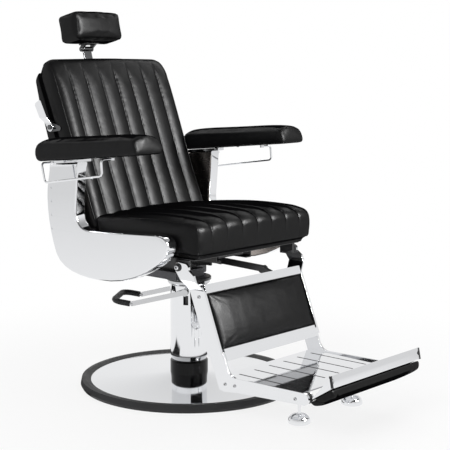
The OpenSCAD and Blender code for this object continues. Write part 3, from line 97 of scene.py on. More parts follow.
def power_setting(name, description, default):
    """A setting for the power of a lamp, in watts."""
    return FloatProperty(name=name, description=description, default=default, min=0, subtype="POWER")


class UpholsterySettings(bpy.types.PropertyGroup):
    """Sizes of the sewn and padded pieces"""

    mesh_size: length_setting("Mesh size", "Edge length that the cushions are remeshed to", 6, 4, 10)
    puff: length_setting("Puff", "Furthest that the foam pushes a cover out between its seams", 4.5, 0, 12)
    crown: length_setting("Crown", "How far the middle of the seat stands above its sides", 8, 0, 12)
    pressure: FloatProperty(name="Pressure", description="Pressure of the foam against the cover",
                            default=4.0, min=0.5, max=10)
    welt_radius: length_setting("Welt radius", "Radius of the piping in the cushion edges", 2.3, 1, 4)
    flutes: IntProperty(name="Flutes", description="Sewn channels across the seat and the back",
                        default=8, min=2, max=12)
    seam_depth: length_setting("Seam depth", "How deep the stitching draws the cover in", 2.2, 0, 5)
    pucker: length_setting("Pucker", "Height of the small folds that the stitching gathers", 0.12, 0, 2)


class FittingSettings(bpy.types.PropertyGroup):
    """Sizes of the metal fittings"""

    edge: length_setting("Edge round", "Radius that polishing leaves on the plates", 0.9, 0.2, 2)
    screw_radius: length_setting("Screw head radius", "Radius of the screws on the legrest", 5.2, 3, 8)
    flute_height: length_setting("Side flute height", "Width of the grooves in the side bodies", 10, 4, 14)
    flute_depth: length_setting("Side flute depth", "Depth of the grooves in the side bodies", 1.2, 0.3, 3)


class FinishSettings(bpy.types.PropertyGroup):
    """Colours of the finishes, as sRGB"""

    vinyl: colour_setting("Upholstery vinyl", "Colour of the cushion covers", "#0C0C0D")
    chrome: colour_setting("Chrome plate", "Tint of the bright chrome", "#E6E7E9")
    enamel: colour_setting("Black enamel", "Colour of the enamel on the steel under the seat", "#1C1C1E")
    rubber: colour_setting("Moulded rubber", "Colour of the bumper ring, the grip and the feet", "#262627")


class StageSettings(bpy.types.PropertyGroup):
    """The studio"""

    azimuth: FloatProperty(name="Camera azimuth", description="Camera's place round the chair",
                           default=math.radians(-48.07), subtype="ANGLE")
    elevation: FloatProperty(name="Camera elevation", description="Camera's height above the horizon",
                             default=math.radians(7.99), subtype="ANGLE")
    lens: FloatProperty(name="Lens", description="Focal length on a 36 mm sensor, in millimetres",
                        default=94.6, min=20, max=200)
    key_power: power_setting("Key power", "Power of the large softbox", 420)
    fill_power: power_setting("Fill power", "Power of the softbox on the other side", 45)
    rim_power: power_setting("Rim power", "Power of the strip behind the chair", 15)
    top_power: power_setting("Top power", "Power of the strip over the sitter's left side", 18)
    room: FloatProperty(name="Room light", description="Strength of the light from the white room",
                        default=0.5, min=0, max=2)


# ---------------------------------------------------------------- modelling helpers
def deselect():
    """Leaves nothing selected, because the loaded nodes are."""
    if bpy.context.object and bpy.context.object.mode != "OBJECT":
        bpy.ops.object.mode_set(mode="OBJECT")
    bpy.ops.object.select_all(action="DESELECT")


def select_only(piece):
    """Makes piece the only selected object and the active one."""
    deselect()
    piece.select_set(True)
    bpy.context.view_layer.objects.active = piece


def points(piece):
    """The vertex places of a mesh as an array."""
    places = np.zeros(len(piece.data.vertices) * 3)
    piece.data.vertices.foreach_get("co", places)
    return places.reshape(-1, 3)


def move_points(piece, places):
    """Puts the vertices of a mesh at places."""
    piece.data.vertices.foreach_set("co", places.ravel())
    piece.data.update()


def normals(piece):
    """The vertex normals of a mesh as an array."""
    directions = np.zeros(len(piece.data.vertices) * 3)
    piece.data.vertex_normals.foreach_get("vector", directions)
    return directions.reshape(-1, 3)


def modify(piece, kind, **settings):
    """Adds a modifier to piece and applies it."""
    modifier = piece.modifiers.new(kind, kind)
    for name, value in settings.items():
        setattr(modifier, name, value)
    select_only(piece)
    bpy.ops.object.modifier_apply(modifier=modifier.name)


def cut_out(piece, cutter):
    """Takes cutter out of piece and deletes it."""
    modify(piece, "BOOLEAN", operation="DIFFERENCE", solver="EXACT", object=cutter)
    bpy.data.objects.remove(cutter)


def edit_mesh(piece, *steps):
    """Runs mesh operators, each given by its name and options, on the whole of piece."""
    select_only(piece)
    bpy.ops.object.mode_set(mode="EDIT")
    bpy.ops.mesh.select_all(action="SELECT")
    for name, options in steps:
        getattr(bpy.ops.mesh, name)(**options)
    bpy.ops.object.mode_set(mode="OBJECT")


def apply_place(piece):
    """Puts the piece's place, turn and size into its mesh."""
    select_only(piece)
    bpy.ops.object.transform_apply(location=True, rotation=True, scale=True)


def smooth(piece, angle):
    """Smooth shading with sharp edges over angle degrees."""
    select_only(piece)
    bpy.ops.object.shade_smooth_by_angle(angle=math.radians(angle))


def welded_copy(nodes, name):
    """Copies of frame nodes as one new object, their loose triangles welded together."""
    copies = []
    for node in nodes.split():
        piece = bpy.data.objects.new(name, NODES[node].data.copy())
        bpy.context.scene.collection.objects.link(piece)
        select_only(piece)
        bpy.ops.mesh.customdata_custom_splitnormals_clear()
        edit_mesh(piece, ("remove_doubles", {"threshold": WELD}), ("mark_sharp", {"clear": True}))
        copies.append(piece)
    return join(copies, name)


def finish(name):
    """The material of that name, which the finishes operator has made."""
    return bpy.data.materials[name]


def wear(piece, material):
    """Gives piece a material in place of any that it has."""
    piece.data.materials.clear()
    piece.data.materials.append(material)


def paint(piece, name, chosen):
    """Gives a second material to the faces that chosen picks by their normal and middle, for a second finish and
    for painted shade and reflections.
    """
    piece.data.materials.append(finish(name))
    for face in piece.data.polygons:
        if chosen(face.normal, face.center):
            face.material_index = 1


def finish_piece(piece, body, material, slot, *replaced):
    """Gives piece its material, its body and the nodes that it stands for."""
    if material is not None:
        wear(piece, material)
    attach(piece, body)
    if replaced:
        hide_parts(*replaced)
    return piece


def join(pieces, name):
    """Joins pieces into one object."""
    deselect()
    for piece in pieces:
        piece.select_set(True)
    bpy.context.view_layer.objects.active = pieces[0]
    if len(pieces) > 1:
        bpy.ops.object.join()
    pieces[0].name = name
    pieces[0].data.name = name
    return pieces[0]


def tube(name, line, radius, closed=False):
    """A round cord along a list of points, as a mesh with closed ends."""
    curve = bpy.data.curves.new(name, "CURVE")
    curve.dimensions = "3D"
    curve.bevel_depth = radius
    curve.bevel_resolution = 3
    curve.use_fill_caps = True
    spline = curve.splines.new("POLY")
    spline.points.add(len(line) - 1)
    for point, place in zip(spline.points, line):
        point.co = (*place, 1)
    spline.use_cyclic_u = closed
    piece = bpy.data.objects.new(name, curve)
    bpy.context.scene.collection.objects.link(piece)
    select_only(piece)
    bpy.ops.object.convert(target="MESH")
    edit_mesh(piece, ("remove_doubles", {"threshold": WELD}),
              ("normals_make_consistent", {"inside": False}))
    smooth(piece, 60)
    return piece


def even_line(corners, step, closed=False):
    """Points a step apart along straight runs between corners."""
    line = []
    ends = corners[1:] + (corners[:1] if closed else [])
    for a, b in zip(corners, ends):
        count = max(1, round((b - a).length / step))
        line += [a.lerp(b, i / count) for i in range(count)]
    return line if closed else line + [corners[-1]]


def laid_on(piece, guide, sink, closed=False):
    """Drops a guide line onto the nearest surface of a cushion, sunk in by sink, and evens it out."""
    mesh = piece.data
    tree = BVHTree.FromPolygons([v.co for v in mesh.vertices], [tuple(p.vertices) for p in mesh.polygons])
    found = [tree.find_nearest(place) for place in guide]
    line = [place - direction * sink for place, direction, _, _ in found]
    for _ in range(6):
        inner = range(len(line)) if closed else range(1, len(line) - 1)
        line = [(line[i - 1] + line[i] * 2 + line[(i + 1) % len(line)]) / 4 if i in inner else line[i]
                for i in range(len(line))]
    return line


# ---------------------------------------------------------------- places in the leaning back
def on_back(x, along, deep):
    """A point of the back: along it from its foot, and deep behind its front face."""
    s, c = math.sin(BACK_LEAN), math.cos(BACK_LEAN)
    return Vector((x, BACK_FOOT.y + along * s + deep * c, BACK_FOOT.z + along * c - deep * s))


def back_frame(places):
    """Along and deep of points of the back, the reverse of on_back."""
    s, c = math.sin(BACK_LEAN), math.cos(BACK_LEAN)
    y, z = places[:, 1] - BACK_FOOT.y, places[:, 2] - BACK_FOOT.z
    return y * s + z * c, y * c - z * s


def seam_distance(x, half, flutes):
    """Distance of each x from the nearest seam between flutes."""
    pitch = 2 * half / flutes
    nearest = np.clip(np.round((x + half) / pitch), 1, flutes - 1) * pitch - half
    return x - nearest


# ---------------------------------------------------------------- materials
def linear(colour):
    """A Blender colour from sRGB, given as a hex string or three numbers."""
    if isinstance(colour, str):
        colour = srgb(colour)
    return (*[c / 12.92 if c <= 0.04045 else ((c + 0.055) / 1.055) ** 2.4 for c in colour], 1.0)


def shade(colour, factor):
    """An sRGB colour made lighter or darker."""
    return tuple(min(1.0, c * factor) for c in colour)


def add_node(tree, kind, values=None, links=None, **settings):
    """Adds a node to a tree, with its settings, socket values and incoming links."""
    node = tree.nodes.new(kind)
    for name, value in settings.items():
        setattr(node, name, value)
    for socket, value in (values or {}).items():
        node.inputs[socket].default_value = value
    for socket, source in (links or {}).items():
        tree.links.new(source, node.inputs[socket])
    return node


def new_material(name, **sockets):
    """A material's tree, its shader with constants on its own sockets, and the object's coordinates."""
    material = bpy.data.materials.new(name)
    material.use_nodes = True
    tree = material.node_tree
    shader = tree.nodes["Principled BSDF"]
    for socket, value in sockets.items():
        shader.inputs[socket.replace("_", " ")].default_value = value
    return tree, shader, add_node(tree, "ShaderNodeTexCoord").outputs["Object"]


def noise(tree, place, scale, detail, **more):
    """The pattern of a noise texture over place."""
    values = {"Scale": scale, "Detail": detail, **more}
    return add_node(tree, "ShaderNodeTexNoise", values, {"Vector": place}).outputs["Fac"]


def stretched(tree, place, *scale):
    """Place, stretched along its axes for a pattern that runs one way."""
    return add_node(tree, "ShaderNodeMapping", {"Scale": scale}, {"Vector": place}).outputs["Vector"]


def mapped(tree, value, start, end, low, high, **settings):
    """Value, with the range from start to end drawn over the one from low to high."""
    ends = {"From Min": start, "From Max": end, "To Min": low, "To Max": high}
    return add_node(tree, "ShaderNodeMapRange", ends, {"Value": value}, **settings).outputs["Result"]


def combined(tree, operation, a, b):
    """Two outputs put through a math node."""
    return add_node(tree, "ShaderNodeMath", {}, {0: a, 1: b}, operation=operation).outputs["Value"]


def tinted(tree, shader, factor, dark, light):
    """Colours the shader from dark to light by factor."""
    mix = add_node(tree, "ShaderNodeMix", {"A": linear(dark), "B": linear(light)}, {"Factor": factor},
                   data_type="RGBA")
    tree.links.new(mix.outputs["Result"], shader.inputs["Base Color"])


def polished(tree, shader, factor, low, high, start=0.3, end=0.7):
    """Varies the shader's roughness from low to high by factor."""
    tree.links.new(mapped(tree, factor, start, end, low, high), shader.inputs["Roughness"])


def bumped(tree, shader, height, strength, distance, under=None):
    """Raises the surface by height, on top of the bump under it."""
    links = {"Height": height} if under is None else {"Height": height, "Normal": under}
    bump = add_node(tree, "ShaderNodeBump", {"Strength": strength, "Distance": distance}, links)
    tree.links.new(bump.outputs["Normal"], shader.inputs["Normal"])
    return bump.outputs["Normal"]


def make_vinyl(name, colour):
    """Upholstery vinyl on foam: satin, with a pebbled grain and soft creases that break up highlights."""
    tree, shader, place = new_material(name, IOR=1.5)
    # At a glancing angle the pebbles shade one another and the cover stops mirroring the room
    glance = add_node(tree, "ShaderNodeLayerWeight", {"Blend": 0.5}).outputs["Facing"]
    tree.links.new(mapped(tree, glance, 0.3, 0.66, 0.14, 0.0), shader.inputs["Specular IOR Level"])
    tinted(tree, shader, noise(tree, place, 9.0, 3.0), shade(colour, 0.82), shade(colour, 1.2))
    crease = noise(tree, place, 34.0, 5.0, Roughness=0.62, Distortion=0.6)
    polished(tree, shader, crease, 0.33, 0.45)
    # Real grain is about 0.8 mm, drawn at 1.6 mm so that it shows
    grain = add_node(tree, "ShaderNodeTexVoronoi", {"Scale": 620.0, "Randomness": 0.9}, {"Vector": place},
                     feature="SMOOTH_F1")
    fine = bumped(tree, shader, grain.outputs["Distance"], 0.16, 0.3 * MM)
    bumped(tree, shader, crease, 0.35, 1.2 * MM, fine)


def make_chrome(name, colour, roughness=0.035):
    """Bright chrome plate on buffed steel: a mirror of slightly varied polish, with faint wiping marks."""
    tree, shader, place = new_material(name, Metallic=1.0, Base_Color=linear(colour))
    # Wiping marks run about 60 mm long and 2 mm wide
    marks = noise(tree, stretched(tree, place, 16.0, 16.0, 220.0), 1.0, 4.0)
    polished(tree, shader, marks, roughness, roughness + 0.05, 0.35, 0.75)
    bumped(tree, shader, noise(tree, place, 11.0, 1.0), 0.12, 0.4 * MM)


def make_enamel(name, colour, roughness=0.34, mirror=0.5):
    """Stoved enamel sprayed on steel: satin, with orange peel and a trace of dust in the film."""
    tree, shader, place = new_material(name, IOR=1.5, Coat_Weight=mirror / 2, Coat_Roughness=0.18,
                                       Specular_IOR_Level=mirror)
    dust = noise(tree, place, 25.0, 6.0, Roughness=0.7)
    tinted(tree, shader, dust, shade(colour, 0.85), shade(colour, 1.25))
    polished(tree, shader, dust, roughness - 0.05, roughness + 0.1)
    # Orange peel is about 2 mm across
    bumped(tree, shader, noise(tree, place, 420.0, 2.0), 0.2, 0.15 * MM)


def make_rubber(name, colour):
    """Moulded rubber: dull, finely textured by its mould and paler where it has been rubbed."""
    tree, shader, place = new_material(name, IOR=1.5, Specular_IOR_Level=0.25)
    rub = noise(tree, place, 14.0, 6.0, Roughness=0.65)
    tinted(tree, shader, rub, shade(colour, 0.8), shade(colour, 1.35))
    polished(tree, shader, rub, 0.42, 0.6)
    # Mould texture of about 1 mm
    bumped(tree, shader, noise(tree, place, 900.0, 2.0), 0.25, 0.15 * MM)


def make_plywood(name):
    """Birch plywood, sawn and unfinished: long grain on the faces and thin dark plies on the edges."""
    tree, shader, place = new_material(name, IOR=1.5, Roughness=0.7)
    # Grain lines are about 3 mm wide and 60 mm long
    grain = noise(tree, stretched(tree, place, 300.0, 16.0, 120.0), 1.0, 5.0)
    # Plies are 1.4 mm thick
    plies = add_node(tree, "ShaderNodeTexWave", {"Scale": 220.0, "Distortion": 0.4}, {"Vector": place},
                     bands_direction="Z").outputs["Fac"]
    tinted(tree, shader, combined(tree, "MULTIPLY", grain, plies), "#8A6A43", "#C9A877")


def make_cast_iron(name):
    """Grey cast iron under black paint: rough from the sand of its mould."""
    tree, shader, place = new_material(name, IOR=1.5, Roughness=0.75)
    # Casting sand leaves bumps of about 3 mm
    sand = noise(tree, place, 300.0, 5.0)
    tinted(tree, shader, sand, "#161616", "#2E2D2C")
    bumped(tree, shader, sand, 0.5, 0.5 * MM)


# ---------------------------------------------------------------- finishes
# Turned parts of the frame that only get a finish
STANDING = {
    "chrome plate": "base_dome column_cover ram",
    "polished steel": "ram_flange lever_pins",
    "black enamel and painted shade": "pump_cylinder swivel_disc",
    "gloss black enamel and painted shade": "pump_collar",
    "moulded rubber": "base_ring",
    "cast iron": "base_plate",
}


class CHAIR_OT_finishes(bpy.types.Operator):
    """Makes the finishes and gives them to the frame's turned parts, whose shapes stay"""

    bl_idname = "chair.finishes"
    bl_label = "Finishes"

    def execute(self, context):
        colours = context.scene.chair_finishes
        make_vinyl("upholstery vinyl", colours.vinyl)
        make_chrome("chrome plate", colours.chrome)
        make_chrome("polished steel", shade(colours.chrome, 0.86), 0.12)
        # Chrome darkened to paint a dark reflection, for the headrest bar and the lever bracket
        make_chrome("chrome with painted dark reflection", shade(colours.chrome, 0.42), 0.16)
        # Satin nickel whose darker warm tone is a painted reflection, for the inner faces of the side bodies
        make_chrome("satin nickel with painted reflection", (0.68, 0.65, 0.63), 0.24)
        # Black enamel for the steel under the seat, also used as painted shade in slot walls, screw recesses and
        # behind a bar
        make_enamel("black enamel and painted shade", colours.enamel)
        make_enamel("dark grey enamel", shade(colours.enamel, 2.6), 0.4)
        make_enamel("gloss black enamel and painted shade", shade(colours.enamel, 0.4), 0.08, 0.16)
        make_rubber("moulded rubber", colours.rubber)
        make_plywood("birch plywood")
        make_cast_iron("cast iron")
        for name, nodes in STANDING.items():
            for node in nodes.split():
                wear(NODES[node], finish(name))
        return {"FINISHED"}


# ---------------------------------------------------------------- cushions
# Half the width of the strip of cover that a seam holds down while the foam swells
HELD_WIDTH = 4.5 * MM
# How firmly a point of a cover is held
FIRM, SLACK = 1.0, 0.35
CLOTH_FRAMES = 20


def remeshed(nodes, name, size):
    """A cushion and its board as one even quad mesh, drawn in by 1 mm so that the foam can fill it."""
    piece = welded_copy(nodes, name)
    modify(piece, "REMESH", mode="VOXEL", voxel_size=size)
    move_points(piece, points(piece) - normals(piece) * 1 * MM)
    return piece


def blow_up(piece, held, pressure, furthest):
    """Fills a cover with foam by cloth pressure, no further out than furthest. Held points stay."""
    rest = points(piece)
    group = piece.vertex_groups.new(name="held")
    for level in (SLACK, FIRM):
        chosen = np.nonzero(np.abs(held - level) < 0.2)[0]
        group.add([int(i) for i in chosen], level, "REPLACE")
    cloth = piece.modifiers.new("Cloth", "CLOTH")
    cloth.settings.quality = 5
    cloth.settings.vertex_group_mass = "held"
    cloth.settings.use_pressure = True
    cloth.settings.uniform_pressure_force = pressure
    cloth.settings.effector_weights.gravity = 0
    cloth.collision_settings.use_collision = False
    cloth.point_cache.frame_end = CLOTH_FRAMES
    for step in range(1, CLOTH_FRAMES + 1):
        bpy.context.scene.frame_set(step)
    select_only(piece)
    bpy.ops.object.modifier_apply(modifier=cloth.name)
    bpy.context.scene.frame_set(1)
    piece.vertex_groups.clear()
    moved = points(piece) - rest
    distance = np.maximum(np.linalg.norm(moved, axis=1), 1e-9)
    move_points(piece, rest + moved * (furthest * np.tanh(distance / furthest) / distance)[:, None])


def relax(piece):
    """Evens out a mesh, as a cover pulled tight does."""
    edit_mesh(piece, ("vertices_smooth", {"factor": 0.5, "repeat": 2}))


def subdivided(piece):
    """Halves the mesh of a cover and shades it smooth."""
    modify(piece, "SUBSURF", levels=1, render_levels=1)
    bpy.ops.object.shade_smooth()


def sew(piece, across, along, share, settings):
    """Draws the stitched lines in, with small puckers beside them.

    Across is each point's distance from the nearest seam, and share is how deep the seam is there.
    """
    places, out = points(piece), normals(piece)
    # The points beside a seam move onto it, so that the groove runs straight
    beside = np.abs(across) < 1.4 * MM
    places[:, 0] -= np.where(beside & (share > 0), across, 0)
    across = np.where(beside, 0, across)
    groove = np.exp(-(across / (3.2 * MM)) ** 2) * settings.seam_depth
    fold_length, fold_reach = 21 * MM, 11 * MM
    fold = np.sin(along * 2 * math.pi / fold_length + 3 * np.sin(along * 31)) * 0.5
    fold = fold * np.exp(-(np.abs(across) / fold_reach) ** 2) * settings.pucker
    move_points(piece, places - out * ((groove + fold) * share)[:, None])


def piping(name, piece, guide, sink, radius, closed=False):
    """A welt sewn into a cover along a guide line."""
    return tube(name, laid_on(piece, guide, sink, closed), radius, closed)


def cover(piece, body, *nodes):
    """Finishes a sewn piece in vinyl. It stands for nodes, if there are any."""
    return finish_piece(piece, body, finish("upholstery vinyl"), "leather_black", *nodes)


class CHAIR_OT_seat_cushion(bpy.types.Operator):
    """Sews and fills the fluted seat cushion, with a welt along each side"""

    bl_idname = "chair.seat_cushion"
    bl_label = "Seat cushion"

    def execute(self, context):
        settings = context.scene.chair_upholstery
        half = SEAT_HIGH.x
        piece = remeshed("seat_cushion seat_board", "seat_cushion_cover", settings.mesh_size)
        places, out = points(piece), normals(piece)
        across = seam_distance(places[:, 0], half, settings.flutes)
        top = np.clip((places[:, 2] - (SEAT_HIGH.z - 60 * MM)) / (30 * MM), 0, 1)
        top = top * (np.abs(out[:, 0]) < 0.7)
        held = np.where((np.abs(across) < HELD_WIDTH) & (top > 0.5), FIRM, 0.0)
        held = np.where(places[:, 2] < SEAT_LOW.z + 8 * MM, FIRM, held)
        held = np.where(out[:, 1] > 0.7, SLACK, held)
        blow_up(piece, held, settings.pressure, settings.puff)
        relax(piece)
        self.crown(piece, half, settings.crown)
        subdivided(piece)
        places, out = points(piece), normals(piece)
        across = seam_distance(places[:, 0], half, settings.flutes)
        # The seams fade out down the front and towards the sides
        front = np.clip((places[:, 2] - (SEAT_LOW.z + 12 * MM)) / (60 * MM), 0.25, 1) * (out[:, 2] > -0.5)
        rim = np.clip((half - 22 * MM - np.abs(places[:, 0])) / (10 * MM), 0, 1)
        sew(piece, across, places[:, 1] - places[:, 2], front * rim, settings)
        self.leave_room(piece)
        cover(piece, "seat", "seat_cushion", "seat_board")
        for side, mark in SIDES:
            x = side * (half + 6 * MM)
            guide = even_line([Vector((x, SEAT_HIGH.y - 16 * MM, SEAT_HIGH.z - 14 * MM)),
                               Vector((x, -0.1, SEAT_HIGH.z + 6 * MM)),
                               Vector((x, SEAT_LOW.y - 2 * MM, SEAT_HIGH.z + 2 * MM)),
                               Vector((x, SEAT_LOW.y - 6 * MM, SEAT_LOW.z + 4 * MM))], 5 * MM)
            cover(piping("seat_welt_" + mark, piece, guide, 0.8 * MM, settings.welt_radius), "seat")
        return {"FINISHED"}

    def crown(self, piece, half, height):
        """Lifts the middle of the seat and rolls its front edge down."""
        places = points(piece)
        top = np.clip((places[:, 2] - (SEAT_HIGH.z - 45 * MM)) / (45 * MM), 0, 1)
        middle = 1 - np.clip(np.abs(places[:, 0]) / half, 0, 1) ** 4
        roll = np.clip((SEAT_LOW.y + 75 * MM - places[:, 1]) / (75 * MM), 0, 1) ** 2
        places[:, 2] += top * (height * middle * (1 - roll) - height * 0.6 * roll)
        move_points(piece, places)

    def leave_room(self, piece):
        """Draws the cover in under the front corners, where the legrest's bars swing up past the board."""
        underside, inner_side, rear_end = 479.5 * MM, 241.5 * MM, -188 * MM
        places = points(piece)
        over, beside = underside - places[:, 2], np.abs(places[:, 0]) - inner_side
        zone = (places[:, 1] < rear_end) & (over > 0) & (beside > 0)
        places[:, 2] += np.where(zone & (over <= beside), over, 0)
        places[:, 0] -= np.where(zone & (over > beside), beside * np.sign(places[:, 0]), 0)
        move_points(piece, places)


class CHAIR_OT_back_cushion(bpy.types.Operator):
    """Sews and fills the fluted back cushion, its welts and its padded rear shell"""

    bl_idname = "chair.back_cushion"
    bl_label = "Back cushion"

    def execute(self, context):
        settings = context.scene.chair_upholstery
        piece = remeshed("back_cushion back_board", "back_cushion_cover", settings.mesh_size)
        along, deep, across, facing, _ = self.measured(piece, settings)
        face = (facing > 0.25) & (along < BACK_TOP - 34 * MM)
        held = np.where((np.abs(across) < HELD_WIDTH) & face, FIRM, 0.0)
        held = np.where(deep > BACK_THICK - 6 * MM, FIRM, held)
        blow_up(piece, held, settings.pressure, settings.puff)
        relax(piece)
        subdivided(piece)
        # The seams fade out over the top and towards the sides
        along, _, across, facing, aside = self.measured(piece, settings)
        rim = np.clip((BACK_HALF - 22 * MM - aside) / (10 * MM), 0, 1)
        over = np.clip((BACK_TOP - 20 * MM - along) / (24 * MM), 0, 1)
        share = np.clip((facing - 0.1) / 0.3, 0, 1) * over * rim
        sew(piece, across, along, share, settings)
        cover(piece, "back", "back_cushion", "back_board")
        for side, mark in SIDES:
            x = side * (BACK_HALF + 5 * MM)
            guide = even_line([on_back(x, -34 * MM, -6 * MM), on_back(x, BACK_TOP - 40 * MM, -8 * MM),
                               on_back(x, BACK_TOP + 4 * MM, 4 * MM),
                               on_back(x, BACK_TOP + 6 * MM, 54 * MM)], 5 * MM)
            cover(piping("back_welt_" + mark, piece, guide, 0.8 * MM, settings.welt_radius), "back")
        shell = welded_copy("back_shell", "back_shell_cover")
        modify(shell, "BEVEL", width=4 * MM, segments=3, angle_limit=math.radians(50))
        smooth(shell, 50)
        cover(shell, "back", "back_shell")
        return {"FINISHED"}

    def measured(self, piece, settings):
        """How far each point is along, deep, across from a seam, turned to the sitter, and aside."""
        places, out = points(piece), normals(piece)
        along, deep = back_frame(places)
        across = seam_distance(places[:, 0], BACK_HALF, settings.flutes)
        facing = -out[:, 1] * math.cos(BACK_LEAN) + out[:, 2] * math.sin(BACK_LEAN)
        return along, deep, across, facing, np.abs(places[:, 0])


# Pads: their frame nodes, body, mesh size, furthest swelling, and the axis and least turn of the face that
# lies on a board
PADS = (("headrest_cushion", "headrest", 5 * MM, 4 * MM, None),
        ("arm_pad_r arm_board_r", "seat", 4 * MM, 3 * MM, (2, -0.7)),
        ("arm_pad_l arm_board_l", "seat", 4 * MM, 3 * MM, (2, -0.7)),
        ("leg_pad", "legrest", 4 * MM, 1.2 * MM, (1, 0.6)),
        ("flap_pad", "flap", 4 * MM, 2 * MM, (2, 0.6)))


class CHAIR_OT_small_pads(bpy.types.Operator):
    """Covers and fills the headrest, the arm pads, the legrest pad and the flap pad"""

    bl_idname = "chair.small_pads"
    bl_label = "Headrest, arm, leg and flap pads"

    def execute(self, context):
        settings = context.scene.chair_upholstery
        for nodes, body, size, furthest, flat in PADS:
            node = nodes.split()[0]
            piece = remeshed(nodes, node + "_cover", size)
            low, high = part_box(node)
            held = np.zeros(len(piece.data.vertices))
            if flat:
                axis, least = flat
                held = np.where(normals(piece)[:, axis] * math.copysign(1, least) > abs(least), FIRM, held)
            blow_up(piece, held, settings.pressure, furthest)
            relax(piece)
            subdivided(piece)
            cover(piece, body, *nodes.split())
            if node.startswith("arm"):
                self.arm_welts(piece, low, high, settings.welt_radius * 0.8, node[-1])
            if node == "headrest_cushion":
                self.head_welts(piece, low, high, settings.welt_radius * 0.8)
        return {"FINISHED"}

    def arm_welts(self, piece, low, high, radius, mark):
        """The upright welts at the corners of an arm pad's nose, where its front panel is sewn in."""
        welts = []
        for x in (low.x - 3 * MM, high.x + 3 * MM):
            guide = even_line([Vector((x, low.y + 34 * MM, high.z + 4 * MM)),
                               Vector((x, low.y + 16 * MM, high.z - 8 * MM)),
                               Vector((x, low.y - 4 * MM, high.z - 44 * MM)),
                               Vector((x, low.y + 4 * MM, high.z - 62 * MM))], 4 * MM)
            welts.append(piping("arm_welt", piece, guide, 0.7 * MM, radius))
        cover(join(welts, "arm_welt_" + mark), "seat")

    def head_welts(self, piece, low, high, radius):
        """The welts round both ends of the headrest."""
        middle = (low + high) / 2
        welts = []
        for side, _ in SIDES:
            x = side * (high.x + 3 * MM)
            corners = [Vector((x, middle.y + dy * 60 * MM, middle.z + dz * 60 * MM))
                       for dy, dz in ((-1, -1), (1, -1), (1, 1), (-1, 1))]
            guide = even_line(corners, 4 * MM, closed=True)
            welts.append(piping("head_welt", piece, guide, 0.9 * MM, radius, closed=True))
        cover(join(welts, "headrest_welts"), "headrest")


# ---------------------------------------------------------------- plates and bars
# Finish: record slot, edge radius as a share of the setting, and frame nodes
PLATES = {
    "chrome plate": ("chrome", 1.0, "leg_bar_r leg_bar_l leg_cross_bars foot_rail_r foot_rail_l footplate "
                     "flap_tray arm_mounts recline_lever pump_head foot_r foot_l"),
    "polished steel": ("chrome", 4.0, "pump_lever"),
    # Chrome bars darkened with a painted dark reflection
    "chrome with painted dark reflection": ("chrome", 1.0, "headrest_bar lever_bracket"),
    "black enamel and painted shade": ("steel_black", 1.0, "seat_rail_r seat_rail_l seat_cross seat_pan riser_plates "
                     "leg_brackets back_brackets back_plate_r back_plate_l back_tube back_straps crank "
                     "bar_socket headrest_ears link_bar spindle_nut"),
    "dark grey enamel": ("steel_grey", 2.0, "hub_bracket"),
    "birch plywood": ("plywood", 1.0, "leg_panel"),
}
BODIES = frame["record"]["behaviour"]["bodies"]
BODY_OF = {node: body for body, members in BODIES.items() for node in members}


class CHAIR_OT_plates(bpy.types.Operator):
    """Rounds the edges of the plates, bars and boards and gives them their finishes"""

    bl_idname = "chair.plates"
    bl_label = "Plates and bars"

    def execute(self, context):
        edge = context.scene.chair_fittings.edge
        for name, (slot, share, nodes) in PLATES.items():
            for node in nodes.split():
                piece = self.rounded(node, edge * share)
                finish_piece(piece, BODY_OF[node], finish(name), slot, node)
                self.second_finish(piece, node, *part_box(node))
        return {"FINISHED"}

    def rounded(self, node, radius):
        """A frame node with the soft edges that grinding and polishing leave."""
        piece = welded_copy(node, node + "_finished")
        edit_mesh(piece, ("dissolve_limited", {"angle_limit": math.radians(1)}))
        modify(piece, "BEVEL", width=radius, segments=2, angle_limit=math.radians(35))
        smooth(piece, 34)
        modify(piece, "WEIGHTED_NORMAL", keep_sharp=True)
        return piece

    def second_finish(self, piece, node, low, high):
        """Paints the parts of a plate whose finish isn't that of the rest, and painted shade and dark reflections
        on the chrome ones.
        """
        if node == "leg_panel":
            # The pad's cover wraps the rim of its board
            paint(piece, "upholstery vinyl",
                  lambda n, p: abs(p.x) > high.x - 2 * MM or p.y < low.y + 66 * MM)
        elif node.startswith("leg_bar"):
            # The fold under the hinge: its up-facing chrome faces get a painted dark reflection in gloss black
            # enamel
            paint(piece, "gloss black enamel and painted shade", lambda n, p: n.z > 0.35 and p.z > 360 * MM)
        elif node == "footplate":
            # Painted shade on the walls of the slots
            rim = 8 * MM
            paint(piece, "black enamel and painted shade", lambda n, p: abs(n.z) < 0.5 and abs(p.x) < high.x - rim and
                  low.y + rim < p.y < high.y - rim)
        elif node == "leg_cross_bars":
            # Painted shade on the lug behind the upper bar
            paint(piece, "black enamel and painted shade",
                  lambda n, p: 80 * MM < p.x < 140 * MM and p.z > high.z - 75 * MM and p.y > -272 * MM)
        elif node.startswith("foot_rail"):
            # The face against the footplate
            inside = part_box("footplate")[1].x - 0.2 * MM
            paint(piece, "moulded rubber", lambda n, p: abs(p.x) < inside)


# Grooves of a side body: where each starts, from the top one down, and where all of them end. The height of
# the top one and the step between them are in millimetres
GROOVE_FRONTS = (190 * MM, 191 * MM, 192 * MM, 178 * MM)
GROOVE_END = 283 * MM
GROOVE_TOP, GROOVE_STEP = 643, 43


